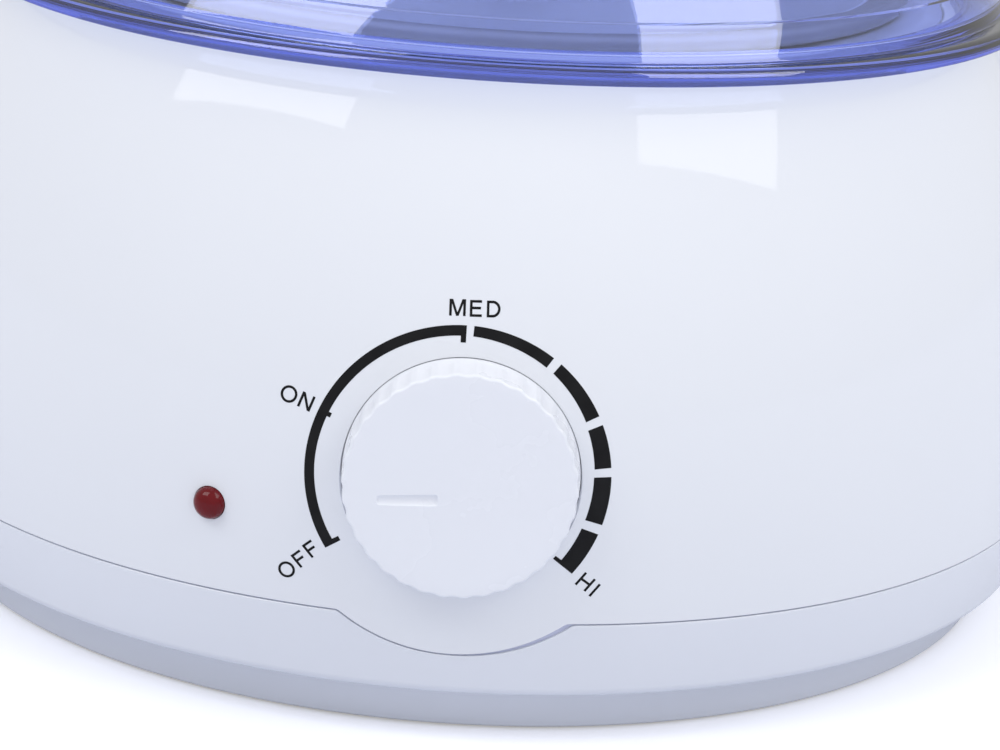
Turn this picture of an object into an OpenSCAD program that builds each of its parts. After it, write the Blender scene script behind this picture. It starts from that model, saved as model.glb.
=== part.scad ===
// Electric wax warmer: a two-shell housing round a heated well, a lift-out pot with a wire bail,
// a see-through lid and a heat dial. The origin is the centre of the base on the table,
// +Z is up and the dial faces -Y. All sizes are in millimetres.

/* [Housing] */
// Widest diameter of the housing
body_d = 179.2; // [176:0.2:190]
// Height of the widest place above the table
belly_z = 31.3; // [29:0.1:34]
// Radius of the bulging side, seen in section
side_r = 106; // [102:1:120]
// Thickness of the housing walls
wall = 2.6; // [2.2:0.1:3]
// Height of the seam between the two shells
seam_z = 18.3; // [17.6:0.1:19.4]
// Open gap that shows as a line along the seam
seam_gap = 0.3; // [0.2:0.05:0.5]
// Height of the flat top rim
rim_z = 88.4; // [87:0.1:90]
// Rounding of the top rim's outer edge
rim_round = 2.4; // [1:0.1:3]
// Thickness of the deck round the well
deck_t = 4.2; // [3.6:0.1:5]
// Height of the overhanging lower edge
skirt_z = 6.95; // [6.5:0.05:7.5]
// Rounding of the overhanging lower edge
skirt_round = 2; // [1:0.1:2.6]

/* [Base] */
// How far the foot ring stands in from the widest place, on the radius
foot_in = 7.9; // [7:0.1:10]
// How much narrower the foot ring is at its lower end, on the radius
foot_draft = 0.8; // [0:0.1:1.5]
// Thickness of the foot ring
foot_t = 7; // [6:0.1:8]
// Thickness of the floor plate
floor_t = 2.4; // [2:0.1:2.8]
// How far the rubber ring stands below the foot ring
pad_proud = 0.4; // [0.3:0.1:0.8]
// Depth of the groove that holds the rubber ring
pad_groove = 1.2; // [0.8:0.1:1.6]
// Width of the rubber ring
pad_w = 4; // [3:0.1:4.4]
// Number of slots in each half of the floor
vent_count = 4; // [2:1:5]
// Width of a slot
vent_w = 3; // [2:0.1:3.4]
// Distance between slots
vent_pitch = 7; // [6:0.1:8]
// Length of a slot
vent_l = 34; // [24:1:38]

/* [Housing screws] */
// How far the screws stand in from the widest place, on the radius
post_in = 19.1; // [18.6:0.1:19.6]
// Diameter of the screw posts
post_d = 8.4; // [8:0.1:9]
// Height where the posts of the two shells meet
post_meet_z = 15.5; // [14.5:0.1:16.5]
// Height of the upper shell's posts
post_h = 22; // [16:0.5:26]
// Shank diameter of a housing screw
screw_d = 3; // [2.6:0.1:3.4]
// Head diameter of a housing screw
screw_head_d = 5.6; // [5.2:0.1:6]
// Length of a housing screw's shank
screw_l = 16; // [12:0.5:18]
// Thickness of the ribs that tie the posts to the side
rib_t = 2.2; // [1.6:0.1:3]

/* [Dial] */
// Height of the dial's centre
dial_z = 38.4; // [38:0.1:40]
// Radius of the tab of the upper shell round the dial
tab_r = 25.1; // [24.6:0.1:26]
// Depth of the flat seat that the dial sinks into
dial_seat = 2.6; // [2.5:0.1:3]
// Thickness of the pad behind that seat
dial_pad_t = 2.4; // [2:0.1:3]
// Diameter of the dial's knob
knob_d = 30.5; // [28:0.1:31]
// How far the knob's face stands proud of the housing
knob_rise = 4.2; // [3.6:0.1:6]
// How much wider the knob is at its back, on the radius
knob_flare = 0.3; // [0:0.1:0.6]
// Number of finger flutes round the knob
knob_flutes = 34; // [24:2:40]
// Depth of a flute
flute_depth = 0.5; // [0.3:0.05:0.7]
// Bevel round the knob's face
knob_bevel = 0.7; // [0.4:0.1:1]
// Wall thickness of the hollow knob
knob_wall = 1.8; // [1.5:0.1:2.2]
// Diameter of the hub inside the knob
hub_d = 11; // [10.4:0.1:12]
// Length of the pointer groove
pointer_l = 8; // [5:0.1:8.6]
// Distance of the groove's inner end from the knob's centre
pointer_in = 2.8; // [1:0.1:4]
// Width of the groove
pointer_w = 1.3; // [0.8:0.1:1.6]
// Depth of the groove
pointer_deep = 0.45; // [0.3:0.05:0.6]
// How far the groove lies to the side of the knob's centre
pointer_side = 1.5; // [0:0.1:2]
// Direction of the groove, anticlockwise from the right as the user sees it
pointer_deg = 184; // [160:1:210]

/* [Thermostat] */
// Diameter of the control shaft
shaft_d = 6; // [5.6:0.1:6.2]
// Running clearance of the shaft, on the radius
shaft_fit = 0.05; // [0.03:0.01:0.08]
// Depth of the flat on the shaft's end
shaft_flat = 1.4; // [1:0.1:1.8]
// Outer diameter of the threaded bush
bush_d = 9; // [8.6:0.1:9.6]
// Length of the bush in front of the plate
bush_l = 5; // [4:0.1:6]
// Thickness of the thermostat's steel plate
plate_t = 1.2; // [1:0.1:1.6]
// Half the distance between the plate's two screws
plate_screw_x = 12.5; // [12:0.1:14]
// Length of the plate's screws
plate_screw_l = 7; // [6:0.1:8]
// How far the plate reaches past its screws
plate_edge = 4; // [3.5:0.1:5]
// Height of the plate at its screws
plate_h = 10; // [9:0.1:12]
// Width of the plate's upright tongue
tongue_w = 12; // [11:0.1:13]
// How far the tongue reaches above the shaft
tongue_up = 7.5; // [7:0.1:9]
// How far the tongue reaches below the rivet
tongue_down = 4.5; // [4.2:0.1:4.8]
// Distance of the insulator stack below the shaft
stack_drop = 10; // [9.6:0.1:10.6]
// Diameter of the ceramic washers
stack_d = 8; // [7:0.1:8.6]
// Thickness of one ceramic washer
washer_t = 2.8; // [2.4:0.1:3.2]
// Thickness of the contact springs
leaf_t = 0.4; // [0.3:0.05:0.6]
// Width of the contact springs
leaf_w = 6; // [5:0.1:7]
// Thickness of the bimetal strip
bimetal_t = 0.8; // [0.6:0.1:1]
// Diameter of the rivet through the stack
rivet_d = 2.8; // [2.4:0.1:3.2]
// Space between the thermostat and the well
sense_gap = 2; // [1.5:0.1:2.5]

/* [Indicator lamp] */
// Angle of the lamp from the dial, round the housing
lamp_az = -21.5; // [-24:0.1:-20.5]
// Height of the lamp
lamp_z = 30.6; // [29:0.1:33]
// Diameter of the red lens
lens_d = 4.3; // [3.6:0.1:5]
// How far the lens stands proud
lens_rise = 1.1; // [0.8:0.1:1.4]
// Outer diameter of the lamp's sleeve
sleeve_d = 8; // [7.6:0.1:9]
// Length of the sleeve
sleeve_l = 12; // [10:0.1:13]
// Diameter of the neon lamp
neon_d = 5.2; // [4.6:0.1:5.6]

/* [Pot] */
// Distance from the outer edge of the housing's top rim in to the pot's wall
pot_in = 16.9; // [16.4:0.1:18.9]
// Thickness of the pot's wall
pot_wall = 1.2; // [1:0.1:1.6]
// Inner corner radius at the pot's floor
pot_round = 6; // [4:0.5:9]
// Width of the pot's rim flange
pot_flange = 4; // [3.6:0.1:4.4]
// Radius of the rolled edge of the rim
roll_r = 1.3; // [1.1:0.05:1.5]
// Thickness of the two ears
ear_t = 1.5; // [1.2:0.1:1.7]
// Width of an ear
ear_w = 8; // [7:0.1:8.4]
// Height of the bail's pivot above the rim flange
pivot_rise = 4.2; // [4.2:0.1:5]
// Thickness of an ear's foot
ear_foot_t = 1; // [0.8:0.1:1.2]
// How far a foot reaches past its ear on each side
ear_foot_side = 5; // [4.6:0.1:6]
// How far a foot reaches in over the pot
ear_foot_in = 0.8; // [0.6:0.1:1]
// Diameter of an ear's rivets
ear_rivet_d = 1.5; // [1.2:0.1:1.6]
// How far an ear's rivets stand from its sides
ear_rivet_side = 2.6; // [2.4:0.1:3]
// How far an ear's rivets stand out from the pot's side
ear_rivet_out = 0.4; // [0.3:0.1:0.5]
// Diameter of an ear rivet's head at its foot
ear_head_d = 2.2; // [2:0.1:2.4]
// Diameter of an ear rivet's head at its top
ear_head_top_d = 1.4; // [1.2:0.1:1.6]
// Height of an ear rivet's head
ear_head_h = 0.7; // [0.5:0.1:0.8]

/* [Bail] */
// Wire diameter of the bail
bail_d = 3; // [2.4:0.1:3.2]
// How far the bail's wire stands out from the pot's rolled rim, middle to edge
bail_out = 1.3; // [1.1:0.1:1.7]
// Bend radius at the bail's ends
bail_bend = 3; // [2.6:0.1:3.4]
// Running clearance of the wire in the ears, on the radius
bail_fit = 0.08; // [0.05:0.01:0.1]

/* [Well] */
// Space between the pot and the well, on the radius
pot_gap = 2; // [1:0.1:2.4]
// Thickness of the well's wall
well_wall = 1.5; // [1.2:0.1:1.8]
// Depth of the well, from its flange to its floor
well_depth = 59; // [56:0.5:60]
// Width of the deck between the well's flange and the groove for the lid
land = 2; // [1.8:0.1:3]
// Thickness of the well's flange
flange_t = 1.2; // [1:0.1:1.6]
// Number of brackets that hold the well
bracket_count = 3; // [3:1:4]
// Angle of the first bracket
bracket_az = 60; // [50:1:70]
// Thickness of a bracket
bracket_t = 1.5; // [1.2:0.1:1.8]
// Length of a bracket's upright leg
bracket_leg = 8; // [6:0.1:8.4]
// Angle that a bracket takes up round the well
bracket_deg = 10; // [8:0.5:12]
// Distance of the bracket's screw from the bracket's upright
bracket_reach = 5; // [4.5:0.1:5.4]
// Length of the bosses under the deck
boss_l = 6; // [5:0.1:7]
// Diameter of those bosses
boss_d = 6.4; // [6:0.1:6.8]
// Shank diameter of the inner screws
small_screw_d = 2.6; // [2.2:0.1:2.8]

/* [Heater] */
// Thickness of the heater band
band_t = 2.4; // [2:0.1:3]
// Height of the band
band_h = 22; // [18:0.5:23]
// Distance from the well's floor to the band
band_up = 18; // [17.5:0.1:19]
// Half the angle of the gap between the band's ends
band_gap_deg = 6; // [5:0.1:8]
// Thickness of the band's lugs
lug_t = 1.6; // [1.2:0.1:2]
// Length of the band's lugs
lug_l = 9; // [8:0.1:10]
// Diameter of the thermal fuse
fuse_d = 4; // [3.4:0.1:4.4]
// Length of the thermal fuse
fuse_l = 13; // [11:0.1:15]

/* [Lid] */
// How far the lid's edge stands out over the housing's top rim
lid_over = 7.1; // [6.2:0.1:8]
// Height of the flange's edge
lid_edge = 2.2; // [1.8:0.1:2.6]
// How far the foot of the lid's wall stands in from the edge
lid_inset = 3.6; // [3.4:0.1:4.4]
// Height of the wall up to the step
lid_wall_h = 4.7; // [4:0.1:6]
// How far the foot of the wall leans in from upright, in degrees
lid_lean_deg = 24.5; // [18:0.5:28]
// Radius in which the wall bends over to the top
lid_bend = 38; // [35:0.5:41]
// Size of the step above the wall
lid_step = 0.3; // [0.2:0.1:0.5]
// Thickness of the lid
lid_t = 2; // [1.8:0.1:2.2]
// Height of the lid's top above the step
dome_h = 23.4; // [22:0.1:26]
// How far the locating lip stands in from the housing's top rim
lip_in = 2.4; // [2.2:0.1:2.8]
// Thickness of the locating lip
lip_t = 1.4; // [1.2:0.1:1.6]
// Depth of the locating lip
lip_h = 1.7; // [1.2:0.1:1.9]
// Diameter of the lid's knob
lid_knob_d = 30; // [26:0.5:34]
// Height of the lid's knob
lid_knob_h = 19; // [16:0.5:24]
// Waist diameter of the lid's knob
lid_waist_d = 15; // [13:0.5:18]
// Diameter of the flat seat below the knob
lid_seat_d = 20; // [18:0.5:22]

/* [Electrics] */
// Diameter of the mains cord that the gland takes
cord_d = 6.4; // [5.6:0.1:6.6]
// Height of the cord gland
gland_z = 12.7; // [12.4:0.1:12.9]
// Diameter of the gland's outer collar
gland_d = 10; // [9.6:0.1:10.4]
// Wall thickness of the gland's barrel
gland_wall = 0.9; // [0.8:0.05:1]
// Length of the gland's outer collar
gland_collar = 3; // [2:0.1:4]
// Number of ways of the terminal block
ways = 3; // [3:1:4]
// Distance between the ways
way_pitch = 9; // [8:0.1:10]
// Length of the block
block_l = 14; // [13:0.5:16]
// Height of the block's base
block_base = 5; // [4:0.5:6]
// Height of a way above the base
way_h = 7; // [6.4:0.1:8]
// Diameter of the inner wires
wire_d = 2; // [1.6:0.1:2.2]

/* [Fits] */
// Gap between resting or moving pieces
rest_gap = 0.3; // [0.25:0.05:0.4]
// Gap round fixed pieces that lie in a hole or on a curve
snug = 0.15; // [0.1:0.05:0.2]

/* [Hidden] */
$fn = 96;
eps = 0.01;
far = 400;

// Centre of the arc that draws the bulging side
side_x = body_d / 2 - side_r;
// Dial, measured towards the front
dial_y = side_at(dial_z);
seat_y = dial_y - dial_seat;
pad_y = seat_y - dial_pad_t;
knob_back_y = seat_y + rest_gap;
knob_face_y = dial_y + knob_rise;
knob_r = knob_d / 2;
knob_back_r = knob_r + knob_flare;
shaft_r = shaft_d / 2;
hub_start = 1.2;
flute_r = PI * knob_d / knob_flutes * 0.62;
pointer_r = (pow(pointer_w / 2, 2) + pow(pointer_deep, 2)) / (2 * pointer_deep);
lens_y = side_at(lamp_z);
sleeve_in_d = sleeve_d - 2.4;
// Well and pot
rim_r = side_at(rim_z);
pot_r = rim_r - pot_in;
well_in_r = pot_r + pot_gap;
well_r = well_in_r + well_wall;
well_floor_z = rim_z - well_depth;
lip_r = rim_r - lip_in;
groove_in_r = lip_r - lip_t - 2 * rest_gap;
well_flange_r = groove_in_r - land;
pot_floor_z = well_floor_z + rest_gap;
roll_z = rim_z + rest_gap + roll_r;
roll_at_r = pot_r + pot_flange;
bail_r = roll_at_r + roll_r + bail_out;
pot_top_z = roll_z + pot_wall / 2;
pivot_z = pot_top_z + pivot_rise;
ear_x = pot_r + 0.2;
bail_droop = asin((pivot_z - rim_z - rest_gap - bail_d / 2) / (bail_r + bail_bend));
// Well's fixings and heater
bracket_in_r = well_r + snug;
bracket_z = rim_z - deck_t - boss_l;
boss_x = bracket_in_r + bracket_t + bracket_reach;
band_in_r = well_r + snug;
band_z = well_floor_z + band_up;
lug_x = (band_in_r + band_t) * sin(band_gap_deg);
lug_out_x = lug_x + lug_t;
lug_y = band_in_r + band_t + lug_l * 0.6;
lug_z = band_z + band_h / 2;
fuse_x = well_r + 2 * snug + 1 + fuse_d / 2;
fuse_z = well_floor_z + 9;
// Thermostat, measured towards the front from the well
rivet_head = 1.2;
stack_back_y = well_r + sense_gap + rivet_head;
leaf_b_y = stack_back_y + bimetal_t + washer_t;
leaf_a_y = leaf_b_y + leaf_t + washer_t;
plate_y = leaf_a_y + leaf_t + washer_t;
plate_front_y = plate_y + plate_t;
// Lid
lid_z = rim_z + rest_gap;
lid_top_z = lid_z + lid_edge;
lid_r = rim_r + lid_over;
lid_wall_r = lid_r - lid_inset;
dome_z = lid_top_z + lid_wall_h + lid_step;
bend_x = lid_wall_r - lid_bend * cos(lid_lean_deg);
bend_z = lid_top_z - lid_bend * sin(lid_lean_deg);
dome_bend = lid_bend - lid_step;
dome_up = dome_z + dome_h - bend_z;
dome_ball = (bend_x * bend_x + dome_up * dome_up - dome_bend * dome_bend) / (2 * (dome_up - dome_bend));
dome_cz = dome_z + dome_h - dome_ball;
dome_deg = atan2(bend_z - dome_cz, bend_x);
lid_seat_z = dome_z + dome_h + 0.8;
lid_under = dome_z + dome_h - lid_t - 0.4;
// Base
floor_z = skirt_z + 0.45;
foot_r = body_d / 2 - foot_in;
pad_r = foot_r - (foot_t + foot_draft) / 2;
post_r = body_d / 2 - post_in;
gland_y = side_at(seam_z) + 0.3;
gland_in_y = gland_y - wall - 4.5;
barrel_d = cord_d + 2 * gland_wall;
head_seat_z = post_meet_z - 4;
// Terminal block and the openings that its wires go into
block_w = ways * way_pitch + 2;
block_back_y = post_r * 0.624 - block_l / 2;
hole_up = block_base + wire_d / 2 + 1.5;
entry_y = block_back_y - rest_gap;
entry_z = floor_z + hole_up;

function side_at(z, inset = 0) = side_x + sqrt(pow(side_r - inset, 2) - pow(z - belly_z, 2));
function side_deg(z, inset = 0) = asin((z - belly_z) / (side_r - inset));
function arc(c, r, from, to, steps) =
    [for (i = [0:steps]) let (a = from + (to - from) * i / steps) c + r * [cos(a), sin(a)]];

// Puts a shape made along +Z on a line that runs out of the housing, az degrees round from the dial
module outward(az, z, r) {
    rotate([0, 0, az]) translate([0, -r, z]) rotate([90, 0, 0]) children();
}

// Repeats a shape round the four housing screws
module at_posts() {
    for (i = [0:3]) rotate([0, 0, 45 + 90 * i]) translate([post_r, 0, 0]) children();
}

// Section of the whole housing's outer form, drawn in by inset
module side_section(inset, low, high) {
    intersection() {
        translate([side_x, belly_z]) circle(r = side_r - inset, $fn = 360);
        translate([0, low]) square([far, high - low]);
    }
}

module side_solid(inset, low, high) {
    rotate_extrude($fn = 180) side_section(inset, low, high);
}

// What is cut away outside the rounded top rim
module rim_cutter() {
    z = rim_z - rim_round;
    x = side_at(z, rim_round);
    low = side_deg(z, rim_round);
    rotate_extrude($fn = 180)
        polygon(concat(arc([x, z], rim_round, 90, low, 8),
            [[far, z + rim_round * sin(low)], [far, rim_z + 5], [x, rim_z + 5]]));
}

// Everything inside the dial's tab, through the front wall
module tab_column(grow) {
    outward(0, dial_z, dial_y - 12) cylinder(r = tab_r + grow, h = 30, $fn = 180);
}

// Upper shell: side, deck, dial seat, lamp hole, screw posts and bosses
module upper_housing() {
    color("ghostwhite") difference() {
        union() {
            difference() {
                union() {
                    side_solid(0, seam_z + seam_gap / 2, rim_z);
                    intersection() {
                        side_solid(0, skirt_z + 2, seam_z + 1);
                        tab_column(0);
                    }
                }
                side_solid(wall, 0, rim_z - deck_t);
            }
            intersection() {
                side_solid(wall / 2, skirt_z + 2, rim_z);
                union() {
                    outward(0, dial_z, pad_y) cylinder(r = knob_back_r + rest_gap + wall, h = 12);
                    outward(lamp_az, lamp_z, lens_y - wall - 5) cylinder(d = sleeve_d + 2.4, h = 12);
                    at_posts() translate([0, -rib_t / 2, seam_z + 3]) cube([far, rib_t, post_h - 6]);
                }
            }
            for (s = [-1, 1]) translate([s * plate_screw_x, 0, 0])
                outward(0, dial_z, plate_front_y) cylinder(d = 6.4, h = pad_y - plate_front_y + eps);
            at_posts() translate([0, 0, post_meet_z]) cylinder(d = post_d, h = post_h);
            at_brackets() translate([boss_x, 0, bracket_z]) cylinder(d = boss_d, h = boss_l + eps);
        }
        rim_cutter();
        translate([0, 0, rim_z - far / 2]) cylinder(r = well_r + snug * 4, h = far);
        translate([0, 0, rim_z - flange_t]) cylinder(r = well_flange_r + snug * 2, h = far);
        lip_groove();
        outward(0, dial_z, seat_y) cylinder(r = knob_back_r + rest_gap, h = far);
        outward(0, dial_z, pad_y - 1) cylinder(d = bush_d + 2 * snug, h = far);
        outward(lamp_az, lamp_z, lens_y - 20) cylinder(d = lens_d + 2 * snug, h = far);
        outward(lamp_az, lamp_z, lens_y - wall - 20) cylinder(d = sleeve_d + 2 * snug, h = 20);
        for (s = [-1, 1]) translate([s * plate_screw_x, 0, 0])
            outward(0, dial_z, plate_front_y - 1) cylinder(d = small_screw_d + 2 * snug, h = 8);
        at_posts() translate([0, 0, post_meet_z - 1]) cylinder(d = screw_d + 2 * snug, h = screw_l);
        at_brackets() translate([boss_x, 0, bracket_z - 1])
            cylinder(d = small_screw_d + 2 * snug, h = boss_l);
    }
}

// Groove in the deck that the lid's lip sits in
module lip_groove() {
    rotate_extrude($fn = 180)
        translate([groove_in_r, rim_z - lip_h - rest_gap])
            square([lip_t + 4 * rest_gap, far]);
}

// Lower shell: side, floor, foot ring, screw posts, vents and the seat of the cord gland
module lower_housing() {
    round_z = skirt_z + skirt_round;
    round_end = side_deg(round_z, skirt_round);
    color("lavender") difference() {
        union() {
            difference() {
                intersection() {
                    side_solid(0, skirt_z, seam_z - seam_gap / 2);
                    rotate_extrude($fn = 180) polygon(concat([[0, skirt_z]],
                        arc([side_at(round_z, skirt_round), round_z], skirt_round, -90, round_end, 8),
                        [[far, round_z], [far, far], [0, far]]));
                }
                side_solid(wall, floor_z, far / 4);
            }
            tongue();
            translate([0, 0, floor_z - floor_t]) cylinder(r = foot_r - foot_t / 2, h = floor_t);
            rotate_extrude($fn = 180) polygon([[foot_r - foot_t, pad_proud], [foot_r - foot_draft, pad_proud],
                [foot_r, skirt_z + eps], [foot_r - foot_t, skirt_z + eps]]);
            at_posts() translate([0, 0, floor_z - floor_t])
                cylinder(d = post_d, h = post_meet_z - floor_z + floor_t);
            gland_seat();
        }
        tab_column(seam_gap);
        rotate_extrude($fn = 180) translate([pad_r - pad_w / 2, -1])
            square([pad_w, pad_proud + pad_groove + 1]);
        at_posts() {
            cylinder(d = screw_d + 2 * snug, h = far);
            cylinder(d = screw_head_d + 4 * snug, h = head_seat_z);
        }
        for (s = [0, 1], i = [0:vent_count - 1]) mirror([0, s, 0])
            translate([(i - (vent_count - 1) / 2) * vent_pitch - vent_w / 2, 8, 0])
                cube([vent_w, vent_l, floor_z + 1]);
        translate([0, 0, gland_z]) rotate([-90, 0, 0]) cylinder(d = barrel_d + 2 * snug, h = far);
    }
}

// Lip of the lower shell that stands inside the upper one
module tongue() {
    rotate_extrude($fn = 180) difference() {
        union() {
            side_section(wall + rest_gap, seam_z - 3, seam_z + 2);
            side_section(wall / 2, seam_z - 3, seam_z - 1.5);
        }
        side_section(wall + rest_gap + 1.4, 0, far / 4);
    }
}

// Flat round seat at the rear, with its thick inner boss
module gland_seat() {
    intersection() {
        translate([0, gland_in_y + 2, gland_z]) rotate([-90, 0, 0])
            cylinder(d = gland_d + 0.8, h = gland_y - gland_in_y - 2);
        translate([-far / 2, 0, floor_z - 1]) cube([far, far, seam_z - seam_gap / 2 - floor_z + 1]);
    }
}

module foot_pad_ring() {
    color("dimgray") rotate_extrude($fn = 180) translate([pad_r - pad_w / 2 + snug, 0])
        square([pad_w - 2 * snug, pad_proud + pad_groove]);
}

// Pan-head screw along +Z with its head below z = 0 and a cross slot in the head
module screw(d, head_d, l) {
    head_h = d * 0.7;
    difference() {
        union() {
            translate([0, 0, -head_h]) cylinder(d1 = head_d * 0.8, d2 = head_d, h = head_h);
            translate([0, 0, -eps]) cylinder(d = d, h = l - d * 0.6);
            translate([0, 0, l - d * 0.6 - 2 * eps]) cylinder(d1 = d, d2 = d * 0.4, h = d * 0.6);
        }
        for (a = [0, 90]) rotate([0, 0, a]) translate([-d * 0.6, -d * 0.12, -head_h - 1])
            cube([d * 1.2, d * 0.24, 1 + head_h * 0.6]);
    }
}

module housing_screws() {
    color("silver") at_posts() translate([0, 0, head_seat_z]) screw(screw_d, screw_head_d, screw_l - 0.5);
}

// Fixed heated well that hangs in the deck by its flange
module heating_well() {
    color("gainsboro") rotate_extrude($fn = 180) polygon(concat(
        [[0, well_floor_z], [well_in_r - pot_round, well_floor_z]],
        arc([well_in_r - pot_round, well_floor_z + pot_round], pot_round, -90, 0, 8),
        [[well_in_r, rim_z], [well_flange_r, rim_z], [well_flange_r, rim_z - flange_t],
        [well_r, rim_z - flange_t]],
        arc([well_r - pot_round, well_floor_z - well_wall + pot_round], pot_round, 0, -90, 8),
        [[0, well_floor_z - well_wall]]));
}

module at_brackets() {
    for (i = [0:bracket_count - 1]) rotate([0, 0, bracket_az + 360 / bracket_count * i]) children();
}

// Angle brackets that hold the well down, fixed to its wall
module well_brackets() {
    out_r = bracket_in_r + bracket_t;
    end_r = boss_x + 3.2;
    color("silver") at_brackets() difference() {
        rotate([0, 0, -bracket_deg / 2]) rotate_extrude(angle = bracket_deg, $fn = 180)
            polygon([[bracket_in_r, bracket_z - bracket_leg], [out_r, bracket_z - bracket_leg],
                [out_r, bracket_z - bracket_t], [end_r, bracket_z - bracket_t],
                [end_r, bracket_z], [bracket_in_r, bracket_z]]);
        translate([boss_x, 0, 0]) cylinder(d = small_screw_d + 2 * snug, h = far);
    }
}

module well_screws() {
    color("silver") at_brackets() translate([boss_x, 0, bracket_z - bracket_t])
        screw(small_screw_d, small_screw_d * 2, boss_l);
}

// Mica heater band round the well, open at the rear where its two lugs are drawn together
module heater_band() {
    color("darkgray") difference() {
        union() {
            rotate([0, 0, 90 + band_gap_deg]) rotate_extrude(angle = 360 - 2 * band_gap_deg, $fn = 180)
                translate([band_in_r, band_z]) square([band_t, band_h]);
            for (s = [0, 1]) mirror([s, 0, 0]) translate([lug_x, band_in_r + band_t / 2, lug_z - 6])
                cube([lug_t, lug_l, 12]);
        }
        translate([-far / 2, lug_y, lug_z]) rotate([0, 90, 0]) cylinder(d = screw_d + 2 * snug, h = far);
        cylinder(r = band_in_r, h = far);
    }
}

// Screw and nut that draw the band tight
module band_clamp_screw() {
    x = lug_out_x;
    color("silver") {
        translate([-x, lug_y, lug_z]) rotate([0, 90, 0]) screw(screw_d, screw_head_d, 2 * x + 4);
        translate([x, lug_y, lug_z]) rotate([0, 90, 0]) difference() {
            cylinder(d = screw_head_d, h = 2.2, $fn = 6);
            translate([0, 0, -1]) cylinder(d = screw_d + 2 * snug, h = 5);
        }
    }
}

// Cut-out fuse that lies on the well's wall, on the right-hand side
module thermal_fuse() {
    color("tan") translate([fuse_x, 0, fuse_z]) rotate([90, 0, 0]) {
        cylinder(d = fuse_d, h = fuse_l, center = true);
        cylinder(d = 1, h = fuse_l + 8, center = true);
    }
}

// Spring clip that presses the fuse to the well
module fuse_clip() {
    x = well_r + snug;
    d = fuse_d + 2 * snug;
    color("silver") difference() {
        union() {
            translate([x, -2.5, fuse_z - 8]) cube([1, 5, 16]);
            translate([x, -2.5, fuse_z - d / 2 - 0.8]) cube([fuse_x - x, 5, d + 1.6]);
            translate([fuse_x, 0, fuse_z]) rotate([90, 0, 0]) cylinder(d = d + 1.6, h = 5, center = true);
        }
        translate([fuse_x, 0, fuse_z]) rotate([90, 0, 0]) cylinder(d = d, h = 9, center = true);
        cylinder(r = x, h = far);
    }
}

// Steel plate of the thermostat with its bush
module thermostat_frame() {
    color("silver") difference() {
        union() {
            translate([-plate_screw_x - plate_edge, -plate_front_y, dial_z - plate_h / 2])
                cube([2 * plate_screw_x + 2 * plate_edge, plate_t, plate_h]);
            translate([-tongue_w / 2, -plate_front_y, dial_z - stack_drop - tongue_down])
                cube([tongue_w, plate_t, stack_drop + tongue_down + tongue_up]);
            outward(0, dial_z, plate_front_y - eps) cylinder(d = bush_d, h = bush_l);
        }
        outward(0, dial_z, plate_y - 1) cylinder(d = shaft_d + 2 * shaft_fit, h = 20);
        outward(0, dial_z - stack_drop, plate_y - 1) cylinder(d = rivet_d + 2 * snug, h = 5);
        for (s = [-1, 1]) translate([s * plate_screw_x, 0, 0])
            outward(0, dial_z, plate_y - 1) cylinder(d = small_screw_d + 2 * snug, h = 5);
    }
}

// Control shaft with a flat at its outer end
module thermostat_shaft() {
    y0 = leaf_a_y + leaf_t + rest_gap;
    y1 = knob_face_y - knob_wall - rest_gap;
    color("silver") difference() {
        union() {
            outward(0, dial_z, y0) cylinder(d = shaft_d, h = y1 - y0);
            outward(0, dial_z, y0) cylinder(d = shaft_d + 2, h = plate_y - y0 - rest_gap);
        }
        translate([-far / 2, -knob_face_y, dial_z + shaft_r - shaft_flat])
            cube([far, knob_face_y - pad_y - 1, shaft_d]);
    }
}

module thermostat_screws() {
    color("silver") for (s = [-1, 1]) translate([s * plate_screw_x, 0, 0])
        outward(0, dial_z, plate_y) screw(small_screw_d, small_screw_d * 2, plate_screw_l);
}

// Ceramic washers that keep the springs and the bimetal apart
module ceramic_washers() {
    color("linen") for (y = [stack_back_y + bimetal_t, leaf_b_y + leaf_t, leaf_a_y + leaf_t])
        outward(0, dial_z - stack_drop, y) difference() {
            cylinder(d = stack_d, h = washer_t);
            translate([0, 0, -1]) cylinder(d = rivet_d + 2 * snug, h = washer_t + 2);
        }
}

// Two leaf springs with their contacts
module contact_springs() {
    color("goldenrod") for (y = [leaf_b_y, leaf_a_y]) difference() {
        union() {
            translate([-leaf_w / 2, -y - leaf_t, dial_z - stack_drop - 4])
                cube([leaf_w, leaf_t, stack_drop + 9]);
            translate([0, 0, 4]) outward(0, dial_z, y + (y == leaf_b_y ? leaf_t - eps : eps - 1))
                cylinder(d = 2.4, h = 1);
        }
        outward(0, dial_z - stack_drop, y - 2) cylinder(d = rivet_d + 2 * snug, h = 4);
    }
}

// Bimetal strip that bends as the well heats up
module bimetal_strip() {
    color("peru") difference() {
        translate([-leaf_w / 2 - 1, -stack_back_y - bimetal_t, dial_z - stack_drop - 4.5])
            cube([leaf_w + 2, bimetal_t, stack_drop + 12]);
        outward(0, dial_z - stack_drop, stack_back_y - 1) cylinder(d = rivet_d + 2 * snug, h = 4);
    }
}

// Rivet through the whole stack
module stack_rivet() {
    color("silver") outward(0, dial_z - stack_drop, stack_back_y - rivet_head) {
        cylinder(d = rivet_d + 2, h = rivet_head);
        translate([0, 0, rivet_head - eps]) cylinder(d = rivet_d, h = plate_front_y - stack_back_y + 2 * eps);
        translate([0, 0, rivet_head + plate_front_y - stack_back_y])
            cylinder(d = rivet_d + 2, h = rivet_head);
    }
}

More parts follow.
